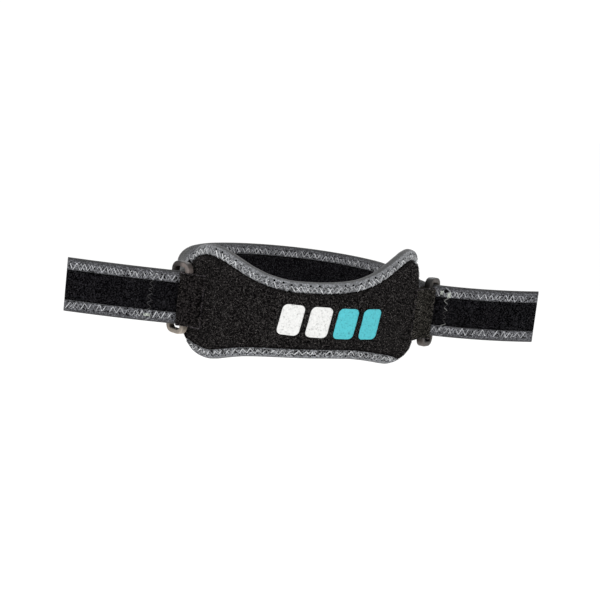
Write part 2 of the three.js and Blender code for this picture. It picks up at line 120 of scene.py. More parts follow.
def out_of(az):
    return Vector((math.sin(rad(az)), -math.cos(rad(az)), 0))


# ---------------------------------------------------------------- mesh builder
class Body:
    """Collects points, faces, a material number for each face and a cloth
    coordinate (along, across, 0) in millimetres for each point."""

    def __init__(self):
        self.v, self.f, self.m, self.c = [], [], [], []

    def add(self, verts, faces, mat=0, cloth=None):
        base = len(self.v)
        self.v.extend(verts)
        self.f.extend(tuple(i + base for i in f) for f in faces)
        self.m.extend([mat] * len(faces))
        self.c.extend(cloth if cloth else [(v[0], v[2], v[1]) for v in verts])

    def rings(self, rings, mat=0, cloth=None, closed=True, caps=True):
        m = len(rings[0])
        verts = [p for r in rings for p in r]
        faces = []
        for i in range(len(rings) - 1):
            for j in range(m if closed else m - 1):
                a, b = i * m + j, i * m + (j + 1) % m
                faces.append((a, b, b + m, a + m))
        if closed and caps:
            faces.append(tuple(range(m))[::-1])
            faces.append(tuple((len(rings) - 1) * m + j for j in range(m)))
        self.add(verts, faces, mat, cloth)

    def tube(self, points, radius, hints, sides=6, mat=0):
        n = len(points)
        rings, cloth = [], []
        for i, p in enumerate(points):
            t = (points[min(n - 1, i + 1)] - points[max(0, i - 1)]).normalized()
            side = t.cross(hints[i])
            if side.length < 1e-6:
                side = t.orthogonal()
            side.normalize()
            up = side.cross(t).normalized()
            r = radius[i] if hasattr(radius, "__len__") else radius
            rings.append([p + (side * math.cos(2 * math.pi * k / sides) + up * math.sin(2 * math.pi * k / sides)) * r for k in range(sides)])
            cloth.extend([(i, 2 * math.pi * k / sides, 0) for k in range(sides)])
        self.rings(rings, mat, cloth)

    def object(self, name, materials, smooth_faces=True):
        me = bpy.data.meshes.new(name)
        me.from_pydata([(p[0] * MM, p[1] * MM, p[2] * MM) for p in self.v], [], self.f)
        for mat in materials:
            me.materials.append(mat)
        me.polygons.foreach_set("material_index", self.m)
        me.polygons.foreach_set("use_smooth", [smooth_faces] * len(me.polygons))
        at = me.attributes.new("cloth", "FLOAT_VECTOR", "POINT")
        at.data.foreach_set("vector", [x for c in self.c for x in c])
        me.validate()
        me.update()
        import bmesh
        bm = bmesh.new()
        bm.from_mesh(me)
        bmesh.ops.recalc_face_normals(bm, faces=bm.faces)
        bm.to_mesh(me)
        bm.free()
        ob = bpy.data.objects.new(name, me)
        scene.collection.objects.link(ob)
        return ob


# ------------------------------------------------------------------- materials
def new_material(name):
    mat = bpy.data.materials.new(name)
    mat.use_nodes = True
    nt = mat.node_tree
    nt.nodes.clear()
    out = nt.nodes.new("ShaderNodeOutputMaterial")
    bsdf = nt.nodes.new("ShaderNodeBsdfPrincipled")
    nt.links.new(bsdf.outputs[0], out.inputs[0])
    return mat, nt, bsdf


def coords(nt, attribute=None):
    if attribute:
        n = nt.nodes.new("ShaderNodeAttribute")
        n.attribute_name = attribute
        return n.outputs["Vector"]
    t = nt.nodes.new("ShaderNodeTexCoord")
    m = nt.nodes.new("ShaderNodeMapping")
    m.inputs["Scale"].default_value = (1000, 1000, 1000)
    nt.links.new(t.outputs["Object"], m.inputs["Vector"])
    return m.outputs["Vector"]


def noise_node(nt, vec, scale, detail=2.0, rough=0.5, stretch=None):
    if stretch:
        m = nt.nodes.new("ShaderNodeMapping")
        m.inputs["Scale"].default_value = stretch
        nt.links.new(vec, m.inputs["Vector"])
        vec = m.outputs["Vector"]
    n = nt.nodes.new("ShaderNodeTexNoise")
    n.inputs["Scale"].default_value = scale
    n.inputs["Detail"].default_value = detail
    n.inputs["Roughness"].default_value = rough
    nt.links.new(vec, n.inputs["Vector"])
    return n.outputs["Fac"]


def ramp(nt, fac, stops):
    r = nt.nodes.new("ShaderNodeValToRGB")
    els = r.color_ramp.elements
    while len(els) < len(stops):
        els.new(0.5)
    for e, (p, c) in zip(els, stops):
        e.position = p
        e.color = (c, c, c, 1) if not hasattr(c, "__len__") else (*c, 1)
    nt.links.new(fac, r.inputs["Fac"])
    return r.outputs["Color"]


def mixc(nt, mode, a, b, fac=1.0):
    n = nt.nodes.new("ShaderNodeMix")
    n.data_type = "RGBA"
    n.blend_type = mode
    for sock, val in ((n.inputs[0], fac), (n.inputs[6], a), (n.inputs[7], b)):
        if hasattr(val, "links"):
            nt.links.new(val, sock)
        elif hasattr(val, "__len__"):
            sock.default_value = (*val, 1)
        else:
            sock.default_value = val
    return n.outputs[2]


def maths(nt, op, a, b=0.0):
    n = nt.nodes.new("ShaderNodeMath")
    n.operation = op
    for sock, val in ((n.inputs[0], a), (n.inputs[1], b)):
        if hasattr(val, "links"):
            nt.links.new(val, sock)
        else:
            sock.default_value = val
    return n.outputs[0]


def bump(nt, bsdf, height, distance, strength=1.0):
    b = nt.nodes.new("ShaderNodeBump")
    b.inputs["Distance"].default_value = distance * MM
    b.inputs["Strength"].default_value = strength
    nt.links.new(height, b.inputs["Height"])
    nt.links.new(b.outputs[0], bsdf.inputs["Normal"])


def plush(name, dark, light, fleck=1.25, sheen=0.25, cover=(0.46, 0.72), relief=0.35, tint=None):
    """Short looped pile: fine bright flecks on a dark ground, softly patchy."""
    mat, nt, bsdf = new_material(name)
    vec = coords(nt)
    fine = noise_node(nt, vec, fleck, 4.0, 0.72)
    fleck_mask = ramp(nt, fine, [(cover[0], 0.0), (cover[1], 1.0)])
    patch = ramp(nt, noise_node(nt, vec, 0.11, 2.0, 0.5), [(0.3, 0.72), (0.7, 1.12)])
    colour = mixc(nt, "MIX", dark, light, fleck_mask)
    colour = mixc(nt, "MULTIPLY", colour, patch)
    nt.links.new(colour, bsdf.inputs["Base Color"])
    bsdf.inputs["Roughness"].default_value = 0.92
    bsdf.inputs["Specular IOR Level"].default_value = 0.0
    bsdf.inputs["Sheen Weight"].default_value = sheen
    bsdf.inputs["Sheen Roughness"].default_value = 0.45
    bsdf.inputs["Sheen Tint"].default_value = (*(tint or (0.9, 0.9, 1.0)), 1)
    curls = noise_node(nt, vec, fleck * 0.8, 4.0, 0.7)
    bump(nt, bsdf, curls, relief, 0.9)
    return mat


def pile_material(name, dark, light):
    """short fibres, each of its own brightness"""
    mat, nt, bsdf = new_material(name)
    sep = nt.nodes.new("ShaderNodeSeparateXYZ")
    nt.links.new(coords(nt, "cloth"), sep.inputs[0])
    nt.links.new(mixc(nt, "MIX", dark, light, ramp(nt, sep.outputs["Z"], [(0.42, 0.0), (0.72, 0.42), (1.0, 1.0)])), bsdf.inputs["Base Color"])
    bsdf.inputs["Roughness"].default_value = 0.8
    bsdf.inputs["Specular IOR Level"].default_value = 0.02
    return mat


def tape(name, base, edge=((0.0, 0.14), (0.04, 0.26), (0.09, 0.86), (0.26, 1.06)), light=1.0, fold=0.42, peak=4.0):
    """Knitted binding tape. Across it, the fold at the edge is smooth and carries painted shade, darkest in a thin
    line at the very edge, and the stitched part is coarse and mottled."""
    mat, nt, bsdf = new_material(name)
    vec = coords(nt, "cloth")
    sep = nt.nodes.new("ShaderNodeSeparateXYZ")
    nt.links.new(vec, sep.inputs[0])
    across = maths(nt, "DIVIDE", sep.outputs["Y"], 6.0)
    # painted shade: the edge stops darken the folded edge, down to a thin dark line at the very edge
    zone = ramp(nt, across, [*edge, (0.38, 0.84), (0.80, 0.90), (0.93, 0.50)])
    mott = ramp(nt, noise_node(nt, vec, 1.15, 4.0, 0.78, (1.0, 1.15, 1.0)), [(0.38, 0.02), (0.46, 0.44), (0.54, 1.15), (0.65, peak)])
    amount = ramp(nt, across, [(0.08, fold), (0.26, (1 + 2 * fold) / 3), (0.38, 1.0)])
    # light scales the base colour; below 1 it makes a painted-shade copy of the tape
    colour = mixc(nt, "MULTIPLY", tuple(c * light for c in base), zone)
    speck = mixc(nt, "MULTIPLY", colour, mott)
    colour = mixc(nt, "MIX", colour, speck, amount)
    nt.links.new(colour, bsdf.inputs["Base Color"])
    ribs = nt.nodes.new("ShaderNodeTexWave")
    ribs.wave_type, ribs.bands_direction = "BANDS", "X"
    ribs.inputs["Scale"].default_value = 0.55
    ribs.inputs["Distortion"].default_value = 2.2
    ribs.inputs["Detail"].default_value = 2.0
    ribs.inputs["Detail Scale"].default_value = 1.6
    nt.links.new(vec, ribs.inputs["Vector"])
    height = maths(nt, "ADD", maths(nt, "MULTIPLY", ribs.outputs["Fac"], 0.35), noise_node(nt, vec, 1.5, 3.0, 0.6))
    bump(nt, bsdf, height, 0.34, 0.9)
    bsdf.inputs["Roughness"].default_value = 0.82
    bsdf.inputs["Specular IOR Level"].default_value = 0.25
    bsdf.inputs["Sheen Weight"].default_value = 0.15
    return mat


def thread(name, colour, variation=0.35):
    mat, nt, bsdf = new_material(name)
    vec = coords(nt)
    n = ramp(nt, noise_node(nt, vec, 0.9, 2.0, 0.6), [(0.3, 1.0 - variation), (0.7, 1.0 + variation * 0.6)])
    nt.links.new(mixc(nt, "MULTIPLY", colour, n), bsdf.inputs["Base Color"])
    bump(nt, bsdf, noise_node(nt, vec, 6.0, 1.0, 0.5), 0.08, 0.8)
    bsdf.inputs["Roughness"].default_value = 0.55
    bsdf.inputs["Specular IOR Level"].default_value = 0.4
    return mat


def moulded(name, colour, shade=None):
    mat, nt, bsdf = new_material(name)
    vec = coords(nt)
    n = ramp(nt, noise_node(nt, vec, 0.35, 4.0, 0.6), [(0.3, 0.78), (0.7, 1.22)])
    col = mixc(nt, "MULTIPLY", colour, n)
    geo = nt.nodes.new("ShaderNodeNewGeometry")
    # painted highlight: convex edges (high pointiness) are mixed towards a lighter copy of the colour
    edge_highlight = ramp(nt, geo.outputs["Pointiness"], [(0.52, 0.0), (0.62, 1.0)])
    col = mixc(nt, "MIX", col, tuple(min(1.0, c * 2.6 + 0.03) for c in colour), maths(nt, "MULTIPLY", edge_highlight, 0.7))
    # painted light and shade by facing: faces turned up are darkened to about a fifth, faces turned down are lightened
    # almost twofold
    sep = nt.nodes.new("ShaderNodeSeparateXYZ")
    nt.links.new(geo.outputs["Normal"], sep.inputs[0])
    up = maths(nt, "ADD", maths(nt, "MULTIPLY", sep.outputs["Z"], 0.5), 0.5)
    col = mixc(nt, "MULTIPLY", col, ramp(nt, up, [(0.15, 1.9), (0.42, 1.25), (0.60, 1.0), (0.74, 0.42), (0.92, 0.22)]))
    if shade:
        x0, x1, low, high, painted_foot_light = shade
        pos = nt.nodes.new("ShaderNodeSeparateXYZ")
        nt.links.new(vec, pos.inputs[0])
        t = maths(nt, "DIVIDE", maths(nt, "SUBTRACT", pos.outputs["X"], x0), x1 - x0)
        # painted shade: over the upper part of the loop, its low-x side is darkened
        rear = ramp(nt, t, [(0.0, 0.10), (0.36, 0.20), (0.52, 1.0)])
        t = maths(nt, "DIVIDE", maths(nt, "SUBTRACT", pos.outputs["Z"], low), high - low)
        col = mixc(nt, "MULTIPLY", col, mixc(nt, "MIX", (1, 1, 1), rear, ramp(nt, t, [(0.45, 0.0), (0.60, 1.0)])))
        # painted light: the foot of the loop is lightened by the last factor of shade
        col = mixc(nt, "MULTIPLY", col, ramp(nt, t, [(0.0, painted_foot_light), (0.14, painted_foot_light), (0.30, (1, 1, 1))]))
    nt.links.new(col, bsdf.inputs["Base Color"])
    nt.links.new(ramp(nt, noise_node(nt, vec, 1.1, 3.0, 0.6), [(0.3, 0.34), (0.7, 0.58)]), bsdf.inputs["Roughness"])
    bump(nt, bsdf, noise_node(nt, vec, 2.2, 3.0, 0.6), 0.05, 0.6)
    bsdf.inputs["Specular IOR Level"].default_value = 0.3
    return mat


def printed(name, colour):
    mat, nt, bsdf = new_material(name)
    vec = coords(nt)
    n = ramp(nt, noise_node(nt, vec, 1.1, 3.0, 0.65), [(0.32, 0.55), (0.44, 0.92), (0.70, 1.06)])
    nt.links.new(mixc(nt, "MULTIPLY", colour, n), bsdf.inputs["Base Color"])
    bump(nt, bsdf, noise_node(nt, vec, 1.0, 4.0, 0.7), 0.18, 0.7)
    bsdf.inputs["Roughness"].default_value = 0.62
    bsdf.inputs["Specular IOR Level"].default_value = 0.3
    return mat


M_PAD = plush("pad_plush", (0.0006, 0.0006, 0.0007), (0.028, 0.026, 0.0255), 1.4, 0.003, (0.45, 0.60), 0.7)
M_PILE = pile_material("pad_pile", (0.0003, 0.0003, 0.0004), (0.116, 0.107, 0.104))
M_LINING = plush("pad_lining", (0.0050, 0.0050, 0.0055), (0.018, 0.018, 0.020), 2.2, 0.02, (0.45, 0.70), 0.2)
M_STRAP = plush("strap_plush", (0.0005, 0.0005, 0.0007), (0.018, 0.0175, 0.020), 1.4, 0.002, (0.47, 0.62), 0.5)
M_STRAP_PILE = pile_material("strap_pile", (0.0004, 0.0004, 0.0005), (0.058, 0.055, 0.058))
# painted light and shade: both tabs are one fabric; the right tab's plush and pile are a lighter copy, the left tab's
# a darker one
M_TAB = {"left": plush("tab_plush_left", (0.0006, 0.0005, 0.0006), (0.028, 0.025, 0.025), 1.3, 0.003, (0.45, 0.62), 0.7, (1.0, 0.92, 0.85)),
         "right": plush("tab_plush_right", (0.0008, 0.0008, 0.0007), (0.046, 0.043, 0.037), 1.3, 0.003, (0.45, 0.62), 0.7, (1.0, 0.92, 0.85))}
M_TAB_PILE = {"left": pile_material("tab_pile_left", (0.0004, 0.0004, 0.0004), (0.078, 0.070, 0.068)),
              "right": pile_material("tab_pile_right", (0.0006, 0.0006, 0.0006), (0.165, 0.155, 0.140))}
M_TAPE = tape("edge_tape", (0.142, 0.146, 0.154))
# painted shade: the strap's tape is the pad's tape in a darker copy, light 0.60, with a darker folded edge
M_TAPE_STRAP = tape("strap_edge_tape", (0.142, 0.144, 0.158), ((0.0, 0.05), (0.07, 0.16), (0.16, 0.56), (0.30, 0.84)), 0.60, 0.9, 3.4)
M_THREAD = thread("thread_grey", (0.56, 0.57, 0.58), 0.55)
M_THREAD_DIM = thread("thread_grey_dim", (0.30, 0.305, 0.315), 0.6)
M_THREAD_DARK = thread("thread_dark", (0.040, 0.038, 0.038), 0.8)
M_KNOT = thread("thread_knot", (0.42, 0.45, 0.41), 0.6)
M_SEAM = thread("thread_seam", (0.165, 0.168, 0.161), 0.6)
M_SEAM_DIM = thread("thread_seam_dim", (0.036, 0.036, 0.037), 0.8)
M_THREAD_STRAP = thread("thread_strap", (0.40, 0.405, 0.42), 0.7)
M_THREAD_STRAP_DIM = thread("thread_strap_dim", (0.20, 0.203, 0.217), 0.7)
# painted highlight: pale fibres along the tab's cut edges and sewn end
M_TAB_EDGE_LIT = pile_material("tab_cut_edge_lit", (0.030, 0.027, 0.030), (0.190, 0.172, 0.185))
# painted shade: near-black for the needle holes, the hole by the snarl and the specks beside the stitches
M_SHADE_BLACK = plush("shade_black", (0.002, 0.002, 0.002), (0.006, 0.006, 0.007), 1.5, 0.0)
M_HOOK = thread("hook_tape", (0.020, 0.020, 0.022))
M_WHITE = printed("print_white", (0.61, 0.61, 0.60))
M_TURQ = printed("print_turquoise", (0.058, 0.395, 0.445))

# ------------------------------------------------------------------------- pad
AZ_FIRST, AZ_LAST = PAD_OUTLINE[0][0], PAD_OUTLINE[-1][0]
MM_PER_DEG = rad(1) * (HOLLOW_R + 4)


def pad_top(az):
    return column(PAD_OUTLINE, 1, az)


def pad_bottom(az):
    return column(PAD_OUTLINE, 2, az)


def steepness(edge, az):
    s = (edge(az + 0.6) - edge(az - 0.6)) / (1.2 * MM_PER_DEG)
    return min(math.sqrt(1 + s * s), 2.2)


def taper(az):
    return min(column(END_TAPER, 1, (az - AZ_FIRST) * MM_PER_DEG), column(END_TAPER, 2, (AZ_LAST - az) * MM_PER_DEG))


def bind_width(run, az):
    a = run["w0"] + (run["width"] - run["w0"]) * min(1, (az - run["start"]) * MM_PER_DEG / BIND_TAPER)
    b = run["w1"] + (run["width"] - run["w1"]) * min(1, (run["end"] - az) * MM_PER_DEG / BIND_TAPER)
    return min(a, b)


def bound_thickness(az):
    return max(3.9, BOUND_EDGE * min(1, taper(az) * 1.12))


def is_bound(run, az):
    return smooth((az - (run["start"] - 0.95)) / 0.5) * smooth(((run["end"] + 0.95) - az) / 0.5)


def edge_state(which, az):
    run = PAD_BINDINGS[which]
    b = is_bound(run, az)
    w = bind_width(run, min(run["end"], max(run["start"], az)))
    return b, w


def end_round(az):
    """1 on the pad, falling to 0 at its two short ends as a rounded nose."""
    d = min((az - AZ_FIRST) * MM_PER_DEG, (AZ_LAST - az) * MM_PER_DEG)
    x = min(1.0, max(0.0, d / 1.9))
    return math.sqrt(max(0.0, 1 - (1 - x) ** 2))


def pad_face(az, dt, db):
    """(inner, outer) height over the hollow at distances dt, db from the edges."""
    k = taper(az)
    mid = PAD_MID * k
    shoulder = min(PAD_SHOULDER * min(1, k * 1.1), mid - 0.15)
    (bt, wt), (bb, wb) = edge_state("top", az), edge_state("bottom", az)
    tape_t = bound_thickness(az)
    span = dt + db
    lo, hi = wt * bt + 0.2, span - wb * bb - 0.2
    w = min(1.0, max(0.0, (dt - lo) / max(1.0, hi - lo)))
    out = shoulder + (mid - shoulder) * (1 - abs(2 * w - 1) ** CROWN)
    inner = 0.0
    for d, b, wd in ((dt, bt, wt), (db, bb, wb)):
        rise = smooth((d - wd + 0.15) / 2.1)
        held = (tape_t - 1.1) * (1 - rise) + (out + 0.12) * rise
        x = min(1.0, max(0.0, d / 2.8))
        free = 1.9 + (out - 1.9) * math.sqrt(max(0.0, 1 - (1 - x) ** 2))
        out = min(out + 0.12, held * b + free * (1 - b))
        under = 1.06 * (1 - smooth((d - wd - 0.2) / 1.2))
        y = min(1.0, max(0.0, d / 1.4))
        lifted = 1.75 * (1 - math.sqrt(max(0.0, 1 - (1 - y) ** 2)))
        inner = max(inner, under * b + lifted * (1 - b))
    e = end_round(az)
    middle = 0.5 * min(out, 3.2)
    return middle + (min(inner, out - 0.3) - middle) * e, middle + (out - middle) * e


PAD_D = [0.0, 0.12, 0.35, 0.7, 1.15, 1.7, 2.3, 3.0, 3.7, 4.3, 4.8, 5.1, 5.4, 5.8, 6.3, 6.9, 7.6, 8.4]


def pad_row(az, inner_points=10, middle=56):
    zt, zb = pad_top(az), pad_bottom(az)
    st_t, st_b = steepness(pad_top, az), steepness(pad_bottom, az)
    bt, _ = edge_state("top", az)
    bb, _ = edge_state("bottom", az)
    in_t, in_b = 1.08 * bt * st_t, 1.08 * bb * st_b
    a, b = zt - in_t, zb + in_b
    height = a - b
    ft = min(st_t, 0.46 * height / PAD_D[-1])
    fb = min(st_b, 0.46 * height / PAD_D[-1])
    zs_t = [a - d * ft for d in PAD_D]
    zs_b = [b + d * fb for d in PAD_D]
    z0, z1 = zs_t[-1], zs_b[-1]
    face = zs_t + [z0 + (z1 - z0) * (i + 1) / (middle + 1) for i in range(middle)] + zs_b[::-1]

    def dist(z):
        return (zt - z) / ft, (z - zb) / fb

    pts = []
    for i, z in enumerate(face):
        dt, db = dist(z)
        inn, out = pad_face(az, dt, db)
        if i in (0, len(face) - 1):
            out = (inn + out) / 2
        pts.append((out, z))
    back = zs_b[1::2] + [z1 + (z0 - z1) * (i + 1) / (inner_points + 1) for i in range(inner_points)] + zs_t[1::2][::-1]
    inner = []
    for z in back:
        dt, db = dist(z)
        inner.append((pad_face(az, dt, db)[0], z))
    return pts, inner


def pad_piece():
    body = Body()
    stations = []
    span = (AZ_LAST - AZ_FIRST) * MM_PER_DEG
    near = [0.0, 0.05, 0.18, 0.4, 0.7, 1.05, 1.45]
    s = 1.9
    mids = []
    while s < span - 1.9:
        mids.append(s)
        s += 0.72
    stations = near + mids + [span - d for d in near[::-1]]
    azs = [AZ_FIRST + d / MM_PER_DEG for d in stations]
    rings, mats = [], None
    for az in azs:
        pts, inner = pad_row(az)
        ring = []
        for i, (h, z) in enumerate(pts):
            p = on_hollow(az, HOLLOW_R + h, z)
            edge = min(i, len(pts) - 1 - i)
            amp = 0.0 if edge < 2 else 1.0
            ring.append(p + out_of(az) * pad_relief(p) * amp * min(1, end_round(az)))
        for h, z in inner:
            ring.append(on_hollow(az, HOLLOW_R + max(0.0, h), z))
        rings.append(ring)
    m = len(rings[0])
    n_face = len(pad_row(0.0)[0])
    verts = [p for r in rings for p in r]
    outer, inner_f = [], []
    for i in range(len(rings) - 1):
        for j in range(m):
            a, b = i * m + j, i * m + (j + 1) % m
            (outer if j < n_face - 1 else inner_f).append((a, b, b + m, a + m))
    caps = [tuple(range(m))[::-1], tuple((len(rings) - 1) * m + j for j in range(m))]
    body.add(verts, outer + caps, 0)
    body.f.extend(inner_f)
    body.m.extend([1] * len(inner_f))
    pad_pile(body, 2, 52000)
    ob = body.object("pad_body", [M_PAD, M_LINING, M_PILE])
    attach(ob, "root")
    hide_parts("pad")
    return ob


def pad_relief(p):
    return noise.noise(p * 0.85) * 0.13 + noise.noise(p * 0.33 + Vector((9, 3, 1))) * 0.16 + noise.noise(p * 0.07) * 0.22


BARS = [(-5.8, 10.2), (7.2, 10.2), (20.2, 10.2), (33.2, 10.2)]
BAR_Z0, BAR_Z1, BAR_SLANT, BAR_CORNER = -5.0, 9.2, 0.16, 2.4


def on_print(az, z, margin=0.0):
    u = rad(az) * (HOLLOW_R + 6.9)
    if not BAR_Z0 - margin < z < BAR_Z1 + margin:
        return False
    x = u - BAR_SLANT * (z - BAR_Z0)
    return any(u0 - margin < x < u0 + w + margin for u0, w in BARS)


def clump(p, size=0.66, spread=2.5):
    """brightness of a fibre: the curls lie in light and dark clumps"""
    return min(1.0, max(0.0, 0.42 + spread * noise.noise(p / size) + rng.uniform(-0.3, 0.3)))


def fibre(body, p, out, mat, length, width, shade, lean=0.9):
    """one short fibre, a narrow triangle that leaves the cloth at a slant"""
    side = Vector((rng.gauss(0, 1), rng.gauss(0, 1), rng.gauss(0, 1)))
    side -= out * side.dot(out)
    side.normalize()
    tip = p + (out + side * lean * rng.uniform(0.3, 1.3)).normalized() * length
    across = out.cross(side).normalized() * width / 2
    base = p - out * 0.08
    body.add([base - across, base + across, tip], [(0, 1, 2)], mat, [(p.x, p.z, shade)] * 3)


def pad_pile(body, mat, count):
    for _ in range(count):
        az = rng.uniform(AZ_FIRST + 0.4, AZ_LAST - 0.4)
        zt, zb = pad_top(az), pad_bottom(az)
        z = rng.uniform(zb, zt)
        dt, db = (zt - z) / steepness(pad_top, az), (z - zb) / steepness(pad_bottom, az)
        (bt, wt), (bb, wb) = edge_state("top", az), edge_state("bottom", az)
        if dt < (wt + 0.25) * bt or db < (wb + 0.25) * bb or on_print(az, z, 0.25):
            continue
        _, h = pad_face(az, dt, db)
        p = on_hollow(az, HOLLOW_R + h, z)
        p += out_of(az) * pad_relief(p) * min(1, end_round(az))
        e = min(1.0, min(dt if bt < 0.5 else 9, db if bb < 0.5 else 9) / 2.0)
        out = (out_of(az) * (0.25 + e) + Vector((0, 0, 1 if dt < db else -1)) * (1 - e)).normalized()
        fibre(body, p, out, mat, rng.uniform(0.35, 0.75), rng.uniform(0.16, 0.28), clump(p))


def pad_surface(az, z):
    """the height of the pad's face over the hollow at azimuth az and height z"""
    st_t, st_b = steepness(pad_top, az), steepness(pad_bottom, az)
    _, h = pad_face(az, (pad_top(az) - z) / st_t, (z - pad_bottom(az)) / st_b)
    return h


# ------------------------------------------------------------- binding section
def fold_profile(d, w, half, pucker=0.0):
    """half thickness of a folded tape at distance d from its folded edge"""
    if d < 1.5:
        x = d / 1.5
        h = half * math.sqrt(max(0.0, 1 - (1 - x) ** 2.2))
    else:
        h = half
    h += 0.10 * math.exp(-(((d - 1.35) / 0.6) ** 2))
    h -= 0.16 * smooth((d - 1.7) / 0.6) * (1 - 0.5 * smooth((d - w + 1.6) / 1.2))
    h -= pucker * math.exp(-(((d - 2.15) / 0.55) ** 2))
    h -= 0.28 * smooth((d - w + 0.35) / 0.35)
    return h


def tape_section(w, half, pucker=0.0, wall=0.9):
    """closed outline (across, height from the middle) of a folded tape"""
    ds = [0.0, 0.06, 0.2, 0.42, 0.75, 1.1, 1.45, 1.75, 2.05, 2.35, 2.8, 3.3, 3.9, 4.5, 5.0, 5.3, 5.5]
    ds = [d for d in ds if d < w - 0.42] + [w - 0.35, w - 0.12, w]
    up = [(d, fold_profile(d, w, half, pucker)) for d in ds]
    down = [(d, -h) for d, h in up[::-1][:-1]]
    inside = [(w, -half + wall), (1.5, -half + wall), (1.0, 0.0), (1.5, half - wall), (w, half - wall)]
    return up, down, inside


def sample_section(w, half, pucker, wall=0.9, count=20):
    """the same outline with a fixed number of points, whatever the width"""
    fr = [0, 0.012, 0.04, 0.08, 0.14, 0.2, 0.27, 0.33, 0.39, 0.45, 0.53, 0.62, 0.72, 0.82, 0.9, 0.945, 0.975, 1.0]
    up = [(w * f, fold_profile(w * f, w, half, pucker)) for f in fr]
    down = [(d, -h) for d, h in up[1:]][::-1]
    inside = [(w, -half + wall), (min(1.5, 0.5 * w), -half + wall), (1.0, 0.0), (min(1.5, 0.5 * w), half - wall), (w, half - wall)]
    # from the raw edge underneath, round the fold, to the raw edge on top, then back inside
    return down + up + inside[::-1]


# ---------------------------------------------------------------- pad bindings
class EdgeRun:
    """the pad's edge as a curve along it, with the way in from it"""

    def __init__(self, which):
        self.which, self.run = which, PAD_BINDINGS[which]
        edge = pad_top if which == "top" else pad_bottom
        n = 900
        self.p = []
        for i in range(n + 1):
            az = self.run["start"] + (self.run["end"] - self.run["start"]) * i / n
            self.p.append((az * MM_PER_DEG, edge(az)))
        self.s = [0.0]
        for a, b in zip(self.p, self.p[1:]):
            self.s.append(self.s[-1] + math.hypot(b[0] - a[0], b[1] - a[1]))
        self.length = self.s[-1]

    def at(self, s):
        s = min(self.length, max(0.0, s))
        lo, hi = 0, len(self.s) - 1
        while hi - lo > 1:
            mid = (lo + hi) // 2
            if self.s[mid] <= s:
                lo = mid
            else:
                hi = mid
        t = (s - self.s[lo]) / max(1e-9, self.s[hi] - self.s[lo])
        u = self.p[lo][0] + (self.p[hi][0] - self.p[lo][0]) * t
        z = self.p[lo][1] + (self.p[hi][1] - self.p[lo][1]) * t
        a, b = self.p[max(0, lo - 6)], self.p[min(len(self.p) - 1, hi + 6)]
        tx, tz = b[0] - a[0], b[1] - a[1]
        ln = math.hypot(tx, tz)
        tx, tz = tx / ln, tz / ln
        nx, nz = (tz, -tx) if self.which == "top" else (-tz, tx)
        return u, z, nx, nz

    def place(self, s, d, h):
        """d in from the edge, h over the hollow"""
        u, z, nx, nz = self.at(s)
        az = (u + nx * d) / MM_PER_DEG
        return on_hollow(az, HOLLOW_R + h, z + nz * d), out_of(az)

    def width(self, s):
        return bind_width(self.run, self.at(s)[0] / MM_PER_DEG)

    def thick(self, s):
        return bound_thickness(self.at(s)[0] / MM_PER_DEG)


